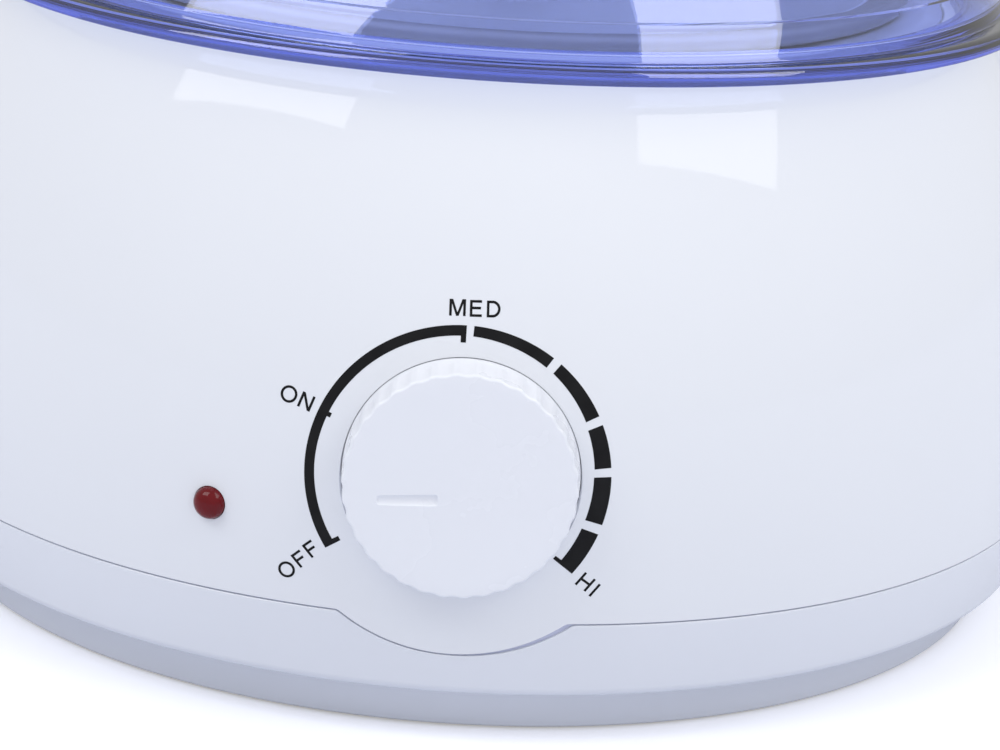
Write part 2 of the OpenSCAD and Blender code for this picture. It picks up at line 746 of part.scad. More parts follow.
// Hollow fluted knob with a hub that takes the shaft
module control_knob() {
    depth = knob_face_y - knob_back_y;
    color("white") outward(0, dial_z, knob_back_y) difference() {
        union() {
            difference() {
                union() {
                    cylinder(r1 = knob_back_r, r2 = knob_r, h = depth - knob_bevel, $fn = 180);
                    translate([0, 0, depth - knob_bevel - eps])
                        cylinder(r1 = knob_r, r2 = knob_r - knob_bevel, h = knob_bevel + eps, $fn = 180);
                }
                translate([0, 0, -1]) cylinder(r = knob_r - knob_wall, h = depth - knob_wall + 1);
                for (i = [0:knob_flutes - 1]) rotate([0, 0, 360 / knob_flutes * i])
                    translate([knob_r + flute_r - flute_depth, 0, -1])
                        cylinder(r = flute_r, h = depth + 2, $fn = 24);
            }
            translate([0, 0, hub_start]) cylinder(d = hub_d, h = depth - hub_start - eps);
        }
        difference() {
            translate([0, 0, -1]) cylinder(d = shaft_d + 2 * shaft_fit, h = depth - knob_wall + 1);
            translate([-far / 2, shaft_r + shaft_fit - shaft_flat, -1]) cube([far, shaft_d, depth]);
        }
        translate([0, 0, hub_start - 1]) ring_space();
        rotate([0, 0, pointer_deg]) translate([pointer_in, pointer_side, depth - pointer_deep + pointer_r])
            rotate([0, 90, 0]) cylinder(r = pointer_r, h = pointer_l);
    }
}

// Step round the hub's end that the spring clip sits on
module ring_space() {
    difference() {
        cylinder(d = hub_d + 2, h = 3.2);
        translate([0, 0, -1]) cylinder(d = hub_d - 1.6, h = 6);
    }
}

// Steel ring clip that squeezes the hub on the shaft
module knob_spring_clip() {
    color("silver") outward(0, dial_z, knob_back_y + hub_start + 0.4) rotate([0, 0, 20])
        rotate_extrude(angle = 320) translate([hub_d / 2 - 0.8 + snug, 0]) square([0.8, 1.6]);
}

// Red lens with a domed front and a shoulder behind the wall
module indicator_lens() {
    dome = (pow(lens_d / 2, 2) + lens_rise * lens_rise) / (2 * lens_rise);
    color("darkred") {
        outward(lamp_az, lamp_z, lens_y - wall - 3) cylinder(d = lens_d, h = wall + 3);
        outward(lamp_az, lamp_z, lens_y - wall - 3) cylinder(d = sleeve_in_d - 2 * snug, h = 3);
        outward(lamp_az, lamp_z, lens_y - eps) intersection() {
            translate([0, 0, lens_rise - dome]) sphere(r = dome, $fn = 64);
            cylinder(d = lens_d, h = lens_rise + 1);
        }
    }
}

// Sleeve that holds the neon lamp behind the lens
module lamp_sleeve() {
    color("white") outward(lamp_az, lamp_z, lens_y - wall - rest_gap - sleeve_l) difference() {
        cylinder(d = sleeve_d, h = sleeve_l);
        translate([0, 0, -1]) cylinder(d = sleeve_in_d, h = sleeve_l + 2);
    }
}

// Neon lamp with its two leads
module neon_lamp() {
    color("wheat") outward(lamp_az, lamp_z, lens_y - wall - sleeve_l + 0.5) {
        cylinder(d = neon_d, h = sleeve_l - 4.6);
        for (s = [-1, 1]) translate([s * 1.2, 0, -5]) cylinder(d = 0.7, h = 5 + eps);
    }
}

// Rubber bush that lines the cord's hole
module cord_gland() {
    color("dimgray") translate([0, gland_in_y, gland_z]) rotate([-90, 0, 0]) difference() {
        union() {
            cylinder(d1 = barrel_d + 0.6, d2 = barrel_d + 1.8, h = 2 - snug);
            cylinder(d = barrel_d, h = gland_y - gland_in_y + 1);
            translate([0, 0, gland_y - gland_in_y])
                cylinder(d1 = gland_d, d2 = gland_d - 1, h = gland_collar);
        }
        translate([0, 0, -1]) cylinder(d = cord_d, h = far);
    }
}

// Terminal block on the floor, with through holes for the wires
module terminal_block() {
    color("whitesmoke") translate([-block_w / 2, block_back_y, floor_z]) difference() {
        union() {
            cube([block_w, block_l, block_base]);
            for (i = [0:ways - 1]) translate([1 + way_pitch * i + 0.6, 0, block_base - eps])
                cube([way_pitch - 1.2, block_l, way_h]);
        }
        for (i = [0:ways - 1]) translate([1 + way_pitch * (i + 0.5), 0, 0]) {
            translate([0, -1, hole_up]) rotate([-90, 0, 0]) cylinder(d = wire_d + 1, h = block_l + 2);
            for (y = [0.25, 0.75]) translate([0, block_l * y, hole_up + 0.5])
                cylinder(d = small_screw_d + 2 * snug, h = way_h);
        }
    }
}

module terminal_screws() {
    color("silver") for (i = [0:ways - 1], y = [0.25, 0.75])
        translate([way_x(i), block_back_y + block_l * y, entry_z + 1.9]) difference() {
            cylinder(d = small_screw_d, h = 2.2);
            translate([-2, -0.3, 1.4]) cube([4, 0.6, 2]);
        }
}

// Insulated wires: a smooth curve through hand-placed points, swept with an eight-sided section
function blend(p, i, t) =
    let (n = len(p) - 1, a = p[max(i - 1, 0)], b = p[i], c = p[min(i + 1, n)], d = p[min(i + 2, n)])
    0.5 * (2 * b + (c - a) * t + (2 * a - 5 * b + 4 * c - d) * t * t + (3 * b - a - 3 * c + d) * t * t * t);
function smooth(p, n) =
    concat([for (i = [0:len(p) - 2], k = [0:n - 1]) blend(p, i, k / n)], [p[len(p) - 1]]);
function unit(v) = v / norm(v);
function heading(p, i) = unit(p[min(i + 1, len(p) - 1)] - p[max(i - 1, 0)]);
function across(h) = unit(cross(h, abs(h[2]) < 0.8 ? [0, 0, 1] : [1, 0, 0]));
function carried(v, h) = unit(v - h * (v * h));
function frames(p, i, v) = i == len(p) ? [] :
    let (w = carried(v, heading(p, i))) concat([w], frames(p, i + 1, w));

module wire(points) {
    sides = 8;
    p = smooth(points, 5);
    side = frames(p, 0, across(heading(p, 0)));
    step = 360 / sides;
    rings = [for (i = [0:len(p) - 1], k = [0:sides - 1]) let (other = cross(heading(p, i), side[i]))
        p[i] + wire_d / 2 * (cos(step * k) * side[i] + sin(step * k) * other)];
    last = (len(p) - 1) * sides;
    polyhedron(points = rings, faces = concat(
        [[for (k = [0:sides - 1]) k]],
        [for (i = [0:len(p) - 2], k = [0:sides - 1], t = [0, 1])
            let (a = i * sides + k, b = i * sides + (k + 1) % sides)
            t == 0 ? [a, a + sides, b] : [b, a + sides, b + sides]],
        [[for (k = [sides - 1:-1:0]) last + k]]));
}

function way_x(i) = -block_w / 2 + 1 + way_pitch * (i + 0.5);
function out_at(az, r, z) = [r * sin(az), -r * cos(az), z];
// A point below the well, its distance from the centre as a part of the screws' distance
function below(az, part, z) = out_at(az, post_r * part, z);
function in_way(x) = [[x, entry_y - 14, entry_z], [x, entry_y - 7, entry_z], [x, entry_y, entry_z]];
function out_way(x) = [[x, entry_y, entry_z], [x, entry_y - 3, entry_z], [x, entry_y - 7, entry_z]];
function at_leaf(x, y, drop) = [x, -y - leaf_t / 2, dial_z - stack_drop - 4 - drop];
function up_leaf(x, y) = [for (drop = [8.5, 4.5, 1.8, rest_gap]) at_leaf(x, y, drop)];
function down_leaf(x, y) = [for (drop = [rest_gap, 1.8, 4.5, 8.5]) at_leaf(x, y, drop)];

// From the block's first way to the thermostat's front spring
module live_wire() {
    x = 2 - leaf_w / 2;
    color("brown") wire(concat(out_way(way_x(0)),
        [below(-150, 0.57, entry_z + 1), below(-90, 0.74, entry_z), below(-45, 0.85, entry_z - 1),
        below(-14, 0.92, entry_z)], up_leaf(x, leaf_a_y)));
}

// From the thermostat's rear spring to the heater band's lug
module heater_wire() {
    x = leaf_w / 2 - 2;
    end_x = lug_out_x + rest_gap + wire_d / 2;
    color("firebrick") wire(concat(down_leaf(x, leaf_b_y),
        [below(16, 0.86, entry_z), below(45, 0.795, entry_z - 1), below(90, 0.795, entry_z),
        below(125, 0.88, entry_z + 2), below(150, 0.993, entry_z + 8),
        [end_x + 5, lug_y + 2, lug_z - 16], [end_x + 1, lug_y + 1, lug_z - 10]]));
}

// From the fuse on the well back to the block
module neutral_wire() {
    y = fuse_l / 2 + 4 + rest_gap;
    color("royalblue") wire(concat([[fuse_x, y, fuse_z], [fuse_x + 1, y + 4, fuse_z - 1],
        below(110, 0.935, fuse_z - 8), below(118, 0.82, entry_z + 2), below(125, 0.57, entry_z)],
        in_way(way_x(ways - 1))));
}

// From the neon lamp's two leads to the block
module lamp_wires() {
    r = lens_y - wall - sleeve_l - 4.5 - rest_gap;
    color("gray") for (i = [0, 1]) let (d = 1.2 * (1 - 2 * i) * [cos(lamp_az), sin(lamp_az), 0])
        wire(concat([out_at(lamp_az, r, lamp_z) + d, out_at(lamp_az, r - 4, lamp_z - 1) + d,
            out_at(lamp_az - 8, r - 8 + 1.5 * wire_d * i, entry_z + 6),
            below(-60, 0.68, entry_z) + 1.5 * wire_d * i * [-1, 0, 0],
            below(-110, 0.48, entry_z) + 1.5 * wire_d * i * [-1, 0, 0]],
            in_way(way_x(1 - i) + i * wire_d * 1.6)));
}

// Lift-out aluminium pot with a rolled rim
module inner_pot() {
    in_r = pot_r - pot_wall;
    in_z = pot_floor_z + pot_wall;
    color("lightgray") {
        rotate_extrude($fn = 180) polygon(concat([[0, in_z], [in_r - pot_round, in_z]],
            arc([in_r - pot_round, in_z + pot_round], pot_round, -90, 0, 8),
            [[in_r, roll_z + pot_wall / 2], [roll_at_r, roll_z + pot_wall / 2],
            [roll_at_r, roll_z - pot_wall / 2], [pot_r, roll_z - pot_wall / 2]],
            arc([pot_r - pot_round, pot_floor_z + pot_round], pot_round, 0, -90, 8),
            [[0, pot_floor_z]]));
        rotate_extrude($fn = 180) translate([roll_at_r, roll_z]) circle(r = roll_r, $fn = 32);
    }
}

// Ears that stand on the rim flange and carry the bail
module pot_ears() {
    foot_l = ear_w + 2 * ear_foot_side;
    color("silver") for (s = [0, 180]) rotate([0, 0, s]) difference() {
        union() {
            translate([pot_r - ear_foot_in, -foot_l / 2, pot_top_z])
                cube([ear_x + ear_t - pot_r + ear_foot_in, foot_l, ear_foot_t]);
            translate([ear_x, -ear_w / 2, pot_top_z]) cube([ear_t, ear_w, pivot_rise]);
            translate([ear_x, 0, pivot_z]) rotate([0, 90, 0]) cylinder(d = ear_w, h = ear_t);
        }
        translate([ear_x - 1, 0, pivot_z]) rotate([0, 90, 0])
            cylinder(d = bail_d + 2 * bail_fit, h = ear_t + 2);
        at_ear_rivets() translate([0, 0, -1]) cylinder(d = ear_rivet_d + snug, h = ear_foot_t + 3);
    }
}

module at_ear_rivets() {
    for (y = [-1, 1]) translate([pot_r + ear_rivet_out, y * (ear_w / 2 + ear_rivet_side), pot_top_z])
        children();
}

// Rivets that hold the ears' feet to the rim flange
module ear_rivets() {
    color("gray") for (s = [0, 180]) rotate([0, 0, s]) at_ear_rivets() {
        cylinder(d = ear_rivet_d, h = ear_foot_t + eps);
        translate([0, 0, ear_foot_t]) cylinder(d1 = ear_head_d, d2 = ear_head_top_d, h = ear_head_h);
    }
}

// Wire bail, folded to the rear and resting on the deck
module bail_handle() {
    in_x = ear_x - 1;
    elbow_x = bail_r - bail_bend;
    color("silver") translate([0, 0, pivot_z]) rotate([-bail_droop, 0, 0]) {
        translate([0, bail_bend, 0]) rotate_extrude(angle = 180, $fn = 180)
            translate([bail_r, 0]) circle(d = bail_d, $fn = 32);
        for (s = [0, 1]) mirror([s, 0, 0]) {
            translate([elbow_x, bail_bend, 0]) rotate([0, 0, -90]) rotate_extrude(angle = 90, $fn = 64)
                translate([bail_bend, 0]) circle(d = bail_d, $fn = 32);
            translate([in_x, 0, 0]) rotate([0, 90, 0]) cylinder(d = bail_d, h = elbow_x - in_x, $fn = 32);
        }
    }
}

// See-through lid: flange, leaning wall, step and dome, with a lip that drops in the deck's groove
module lid_shell() {
    bend = [bend_x, bend_z];
    in_bend = dome_bend - lid_t;
    in_ball = dome_ball - lid_t;
    flange = concat([[lip_r - lip_t, lid_z - lip_h], [lip_r, lid_z - lip_h], [lip_r, lid_z]],
        arc([lid_r - lid_edge / 2, lid_z + lid_edge / 2], lid_edge / 2, -90, 90, 10));
    wall = arc(bend, lid_bend, lid_lean_deg, asin((lid_top_z + lid_wall_h - bend_z) / lid_bend), 4);
    outside = arc(bend, dome_bend, asin((dome_z - bend_z) / dome_bend), dome_deg, 12);
    crown = [for (i = [1:8]) let (a = dome_deg + (90 - dome_deg) * i / 8)
        [dome_ball * cos(a), dome_cz + dome_ball * sin(a)]];
    ceiling = [for (i = [8:-1:1]) let (a = dome_deg + (90 - dome_deg) * i / 8)
        [in_ball * cos(a), dome_cz + in_ball * sin(a)]];
    inside = arc(bend, in_bend, dome_deg, asin((lid_top_z - bend_z) / in_bend), 14);
    color("mediumslateblue", 0.6) difference() {
        union() {
            rotate_extrude($fn = 180) polygon(concat(flange, wall, outside, crown, ceiling, inside,
                [[lip_r - lip_t, lid_top_z - 0.4]]));
            translate([0, 0, lid_under]) cylinder(d = lid_seat_d, h = lid_seat_z - lid_under);
        }
        cylinder(d = screw_d + 2 * snug, h = far);
    }
}

// Knob that lifts the lid: a waisted stem, a rolled edge and a slightly crowned top
module lid_knob() {
    r = lid_knob_d / 2;
    h = lid_knob_h;
    edge = h * 0.14;
    foot = lid_seat_d / 2 - 1;
    waist = lid_waist_d / 2;
    flank = [for (i = [0:12]) let (t = i / 12)
        [waist + (foot - waist) * pow(1 - t, 3) + (r - edge - waist) * pow(t, 4), h * 0.6 * t]];
    rim = arc([r - edge, h * 0.6 + edge], edge, -90, 64, 9);
    last = rim[len(rim) - 1];
    crown = [for (i = [6:-1:0]) [last[0] * i / 7, h - (h - last[1]) * pow(i / 7, 2)]];
    color("mediumslateblue") translate([0, 0, lid_seat_z]) difference() {
        rotate_extrude() polygon(concat([[0, 0]], flank, rim, crown));
        translate([0, 0, -1]) cylinder(d = screw_d + 2 * snug, h = 9);
    }
}

// Screw that comes up from inside the lid
module lid_screw() {
    color("silver") translate([0, 0, lid_under - 0.8])
        screw(screw_d, screw_head_d, lid_seat_z - lid_under + 7);
}

module lid_washer() {
    color("silver") translate([0, 0, lid_under - 0.8]) difference() {
        cylinder(d = 9, h = 0.8);
        translate([0, 0, -1]) cylinder(d = screw_d + 2 * snug, h = 3);
    }
}

upper_housing();
lower_housing();
foot_pad_ring();
housing_screws();
heating_well();
well_brackets();
well_screws();
heater_band();
band_clamp_screw();
thermal_fuse();
fuse_clip();
thermostat_frame();
thermostat_shaft();
thermostat_screws();
ceramic_washers();
contact_springs();
bimetal_strip();
stack_rivet();
control_knob();
knob_spring_clip();
indicator_lens();
lamp_sleeve();
neon_lamp();
cord_gland();
terminal_block();
terminal_screws();
live_wire();
heater_wire();
neutral_wire();
lamp_wires();
inner_pot();
pot_ears();
ear_rivets();
bail_handle();
lid_shell();
lid_knob();
lid_screw();
lid_washer();
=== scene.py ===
import math

import bmesh
import bpy
import numpy as np
from mathutils import Matrix, Vector


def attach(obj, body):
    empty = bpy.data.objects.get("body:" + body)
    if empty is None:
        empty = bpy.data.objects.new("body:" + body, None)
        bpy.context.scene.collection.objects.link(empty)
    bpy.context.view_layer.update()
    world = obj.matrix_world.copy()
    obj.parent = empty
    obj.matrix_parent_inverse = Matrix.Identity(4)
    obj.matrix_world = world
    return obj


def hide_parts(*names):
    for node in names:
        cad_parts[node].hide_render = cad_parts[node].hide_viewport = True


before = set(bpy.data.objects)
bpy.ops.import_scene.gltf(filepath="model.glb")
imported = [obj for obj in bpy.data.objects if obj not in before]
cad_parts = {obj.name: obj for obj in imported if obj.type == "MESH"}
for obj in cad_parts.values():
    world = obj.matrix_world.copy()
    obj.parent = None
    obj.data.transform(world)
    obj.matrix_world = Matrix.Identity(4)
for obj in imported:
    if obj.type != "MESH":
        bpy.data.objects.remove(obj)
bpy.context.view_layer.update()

mm = 0.001  # everything below is worked out in millimetres and made in metres
print("frame loaded:", len(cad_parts), "nodes")

# camera
photoCamera = {
    "place": (2.404, -499.09, 178.29),
    "aim": (4.53, 0.0, 25.21),
    "roll": 3.897,  # degrees
    "lens": 120.57,
    "sensor": 36.0,
    "nearest": 0.01,  # metres
}


def addObject(name, data):
    made = bpy.data.objects.new(name, data)
    bpy.context.scene.collection.objects.link(made)
    return made


def setUpCamera(setup):
    data = bpy.data.cameras.new("photoCamera")
    data.lens = setup["lens"]
    data.sensor_width = setup["sensor"]
    data.clip_start = setup["nearest"]
    camera = addObject("photoCamera", data)
    place = Vector(setup["place"]) * mm
    forward = (Vector(setup["aim"]) * mm - place).normalized()
    level = forward.cross(Vector((0, 0, 1))).normalized()
    upright = level.cross(forward)
    roll = math.radians(setup["roll"])
    right = level * math.cos(roll) + upright * math.sin(roll)
    top = upright * math.cos(roll) - level * math.sin(roll)
    turn = Matrix((right, top, -forward)).transposed().to_4x4()
    turn.translation = place
    camera.matrix_world = turn
    bpy.context.scene.camera = camera


setUpCamera(photoCamera)
print("camera placed")

# shape helpers
weld = 2e-6  # metres, points closer than this become one


def arcPoints(centre, radius, fromDeg, toDeg, steps):
    angles = np.linspace(math.radians(fromDeg), math.radians(toDeg), steps + 1)
    return [(centre[0] + radius * math.cos(a), centre[1] + radius * math.sin(a)) for a in angles]


def softCorners(corners, steps=3):
    # corners are (r, z) or (r, z, rounding); a rounding turns the corner into a small arc
    outline = []
    count = len(corners)
    for i, corner in enumerate(corners):
        here = Vector(corner[:2])
        rounding = corner[2] if len(corner) > 2 else 0
        if not rounding:
            outline.append((here.x, here.y))
            continue
        before = (Vector(corners[i - 1][:2]) - here).normalized()
        after = (Vector(corners[(i + 1) % count][:2]) - here).normalized()
        half = math.acos(max(-1, min(1, before.dot(after)))) / 2
        back = rounding / math.tan(half)
        middle = here + (before + after).normalized() * (rounding / math.sin(half))
        start = here + before * back - middle
        end = here + after * back - middle
        for k in range(steps + 1):
            spot = start.lerp(end, k / steps).normalized() * rounding
            outline.append((middle.x + spot.x, middle.y + spot.y))
    return outline


def pieceFromMesh(name, points, faces, frameMatrix=None):
    data = bpy.data.meshes.new(name)
    spots = np.asarray(points, float)
    if frameMatrix is not None:
        turn = np.array(frameMatrix)
        spots = spots @ turn[:3, :3].T + turn[:3, 3]
    data.from_pydata((spots * mm).tolist(), [], faces)
    build = bmesh.new()
    build.from_mesh(data)
    bmesh.ops.remove_doubles(build, verts=build.verts, dist=weld)
    build.to_mesh(data)
    build.free()
    return addObject(name, data)


def smoothOver(piece, degrees=32):
    for face in piece.data.polygons:
        face.use_smooth = True
    piece.data.set_sharp_from_angle(angle=math.radians(degrees))
    return piece


def turned(name, outlines, angles=None, steps=240, closed=True, frameMatrix=None):
    # outlines is one outline for a plain turned piece, or one outline for each angle
    if angles is None:
        angles = np.arange(steps) * (2 * math.pi / steps)
    shape = np.asarray(outlines, float)
    if shape.ndim == 2:
        shape = np.repeat(shape[None], len(angles), axis=0)
    columns, count = shape.shape[:2]
    a = np.asarray(angles)[:, None]
    points = np.stack([shape[..., 0] * np.sin(a), -shape[..., 0] * np.cos(a), shape[..., 1]], -1)
    i, j = np.meshgrid(np.arange(columns), np.arange(count if closed else count - 1), indexing="ij")
    ni, nj = (i + 1) % columns, (j + 1) % count
    quads = np.stack([i * count + j, ni * count + j, ni * count + nj, i * count + nj], -1)
    faces = quads.reshape(-1, 4).tolist()
    return pieceFromMesh(name, points.reshape(-1, 3), faces, frameMatrix)


def carve(piece, cutters, how="DIFFERENCE"):
    for cutter in cutters:
        step = piece.modifiers.new("carve", "BOOLEAN")
        step.operation = how
        step.solver = "EXACT"
        step.object = cutter
    bpy.context.view_layer.update()
    seen = piece.evaluated_get(bpy.context.evaluated_depsgraph_get())
    made = bpy.data.meshes.new_from_object(seen)
    piece.modifiers.clear()
    old, piece.data = piece.data, made
    bpy.data.meshes.remove(old)
    for cutter in cutters:
        data = cutter.data
        bpy.data.objects.remove(cutter)
        bpy.data.meshes.remove(data)
    return piece


def box(name, low, high):
    corner = [(x, y, z) for x in (low[0], high[0]) for y in (low[1], high[1]) for z in (low[2], high[2])]
    faces = [(0, 1, 3, 2), (4, 6, 7, 5), (0, 4, 5, 1), (2, 3, 7, 6), (0, 2, 6, 4), (1, 5, 7, 3)]
    return pieceFromMesh(name, corner, faces)


def outwardFrame(azimuth, z):
    # local x is to the user's right, y is up and z points out of the housing
    a = math.radians(azimuth)
    return Matrix(((math.cos(a), 0, math.sin(a), 0), (math.sin(a), 0, -math.cos(a), 0),
                   (0, 1, 0, z), (0, 0, 0, 1)))


def post(name, radius, low, high, place=(0, 0), steps=64, frameMatrix=None):
    # a closed round bar along z, used for cuts and joins
    outline = [(0, low), (radius, low), (radius, high), (0, high)]
    turn = Matrix.Translation((place[0], place[1], 0))
    if frameMatrix is not None:
        turn = frameMatrix @ turn
    return turned(name, outline, steps=steps, closed=False, frameMatrix=turn)


def sweep(name, path, radius, sides, scale):
    # a round bar along a path, carried along without twisting
    path = [Vector(p) for p in path]
    count = len(path)
    points, faces = [], []
    ahead = (path[1] - path[0]).normalized()
    side = ahead.orthogonal().normalized()
    for i, spot in enumerate(path):
        ahead = (path[min(i + 1, count - 1)] - path[max(i - 1, 0)]).normalized()
        side = (side - ahead * side.dot(ahead)).normalized()
        other = ahead.cross(side)
        r = radius * scale[i]
        for k in range(sides):
            a = 2 * math.pi * k / sides
            points.append(spot + (side * math.cos(a) + other * math.sin(a)) * r)
    for i in range(count - 1):
        for k in range(sides):
            a, b = i * sides + k, i * sides + (k + 1) % sides
            faces.append((a, b, b + sides, a + sides))
    faces.append(tuple(range(sides))[::-1])
    faces.append(tuple((count - 1) * sides + k for k in range(sides)))
    return pieceFromMesh(name, points, faces)


# finishes
bumpDeep = {"moulded": 0.00002, "metal": 0.00001}  # metres


def nodeSet(name):
    material = bpy.data.materials.new(name)
    material.use_nodes = True
    tree = material.node_tree
    shader = tree.nodes["Principled BSDF"]
    place = tree.nodes.new("ShaderNodeTexCoord")
    return material, tree, shader, place.outputs["Object"]


def noiseField(tree, place, scale, detail=3.0, stretch=None):
    if stretch:
        mapping = tree.nodes.new("ShaderNodeMapping")
        mapping.inputs["Scale"].default_value = stretch
        tree.links.new(place, mapping.inputs["Vector"])
        place = mapping.outputs["Vector"]
    noise = tree.nodes.new("ShaderNodeTexNoise")
    noise.inputs["Scale"].default_value = scale
    noise.inputs["Detail"].default_value = detail
    tree.links.new(place, noise.inputs["Vector"])
    return noise.outputs["Fac"]


def spread(tree, value, low, high, fromLow=0.3, fromHigh=0.7):
    node = tree.nodes.new("ShaderNodeMapRange")
    node.inputs["From Min"].default_value = fromLow
    node.inputs["From Max"].default_value = fromHigh
    node.inputs["To Min"].default_value = low
    node.inputs["To Max"].default_value = high
    tree.links.new(value, node.inputs["Value"])
    return node.outputs["Result"]


def colourBetween(tree, value, first, second):
    ramp = tree.nodes.new("ShaderNodeValToRGB")
    ramp.color_ramp.elements[0].position = 0.3
    ramp.color_ramp.elements[1].position = 0.7
    ramp.color_ramp.elements[0].color = (*first, 1)
    ramp.color_ramp.elements[1].color = (*second, 1)
    tree.links.new(value, ramp.inputs["Fac"])
    return ramp.outputs["Color"]


def bumpFrom(tree, shader, value, strength, distance):
    bump = tree.nodes.new("ShaderNodeBump")
    bump.inputs["Strength"].default_value = strength
    bump.inputs["Distance"].default_value = distance
    tree.links.new(value, bump.inputs["Height"])
    tree.links.new(bump.outputs["Normal"], shader.inputs["Normal"])


def mouldedFinish(name, look):
    material, tree, shader, place = nodeSet(name)
    cloud = noiseField(tree, place, look["cloud"], 2.0)
    tree.links.new(colourBetween(tree, cloud, look["deep"], look["pale"]), shader.inputs["Base Color"])
    wear = noiseField(tree, place, look["cloud"] * 3, 4.0)
    tree.links.new(spread(tree, wear, *look["rough"]), shader.inputs["Roughness"])
    bumpFrom(tree, shader, noiseField(tree, place, look["grain"], 2.0), look["bump"], bumpDeep["moulded"])
    shader.inputs["Specular IOR Level"].default_value = look.get("specular", 0.5)
    return material


def metalFinish(name, look):
    material, tree, shader, place = nodeSet(name)
    shader.inputs["Metallic"].default_value = 1
    cloud = noiseField(tree, place, look["cloud"], 3.0)
    tree.links.new(colourBetween(tree, cloud, look["deep"], look["pale"]), shader.inputs["Base Color"])
    if look.get("rings"):
        rings = tree.nodes.new("ShaderNodeTexWave")
        rings.wave_type = "RINGS"
        rings.rings_direction = "Z"
        rings.inputs["Scale"].default_value = look["rings"]
        rings.inputs["Distortion"].default_value = 1.2  # turning marks aren't quite round
        rings.inputs["Detail"].default_value = 3
        tree.links.new(place, rings.inputs["Vector"])
        lines = rings.outputs["Fac"]
    else:
        lines = noiseField(tree, place, look["grain"], 3.0, look.get("stretch"))
    tree.links.new(spread(tree, lines, *look["rough"]), shader.inputs["Roughness"])
    bumpFrom(tree, shader, lines, look["bump"], bumpDeep["metal"])
    return material


def clearFinish(name, look):
    material, tree, shader, place = nodeSet(name)
    cloud = noiseField(tree, place, look["cloud"], 2.0)
    tree.links.new(colourBetween(tree, cloud, look["deep"], look["pale"]), shader.inputs["Base Color"])
    tree.links.new(spread(tree, cloud, *look["rough"]), shader.inputs["Roughness"])
    shader.inputs["Transmission Weight"].default_value = 1
    shader.inputs["IOR"].default_value = look["ior"]
    bumpFrom(tree, shader, noiseField(tree, place, look["grain"], 2.0), look["bump"], bumpDeep["moulded"])
    if look.get("density"):
        soak = tree.nodes.new("ShaderNodeVolumeAbsorption")
        soak.inputs["Color"].default_value = (*look["tint"], 1)
        soak.inputs["Density"].default_value = look["density"]
        tree.links.new(soak.outputs["Volume"], tree.nodes["Material Output"].inputs["Volume"])
    if look.get("lets"):
        letLightIn(tree, shader, look["lets"])
    return material


def letLightIn(tree, shader, tint):
    # rays from lamps and from what is inside go straight through, a little tinted
    light = tree.nodes.new("ShaderNodeLightPath")
    through = tree.nodes.new("ShaderNodeBsdfTransparent")
    through.inputs["Color"].default_value = (*tint, 1)
    shown = shader.outputs["BSDF"]
    for kind in ("Is Diffuse Ray", "Is Shadow Ray"):
        mix = tree.nodes.new("ShaderNodeMixShader")
        tree.links.new(light.outputs[kind], mix.inputs["Fac"])
        tree.links.new(shown, mix.inputs[1])
        tree.links.new(through.outputs["BSDF"], mix.inputs[2])
        shown = mix.outputs["Shader"]
    tree.links.new(shown, tree.nodes["Material Output"].inputs["Surface"])


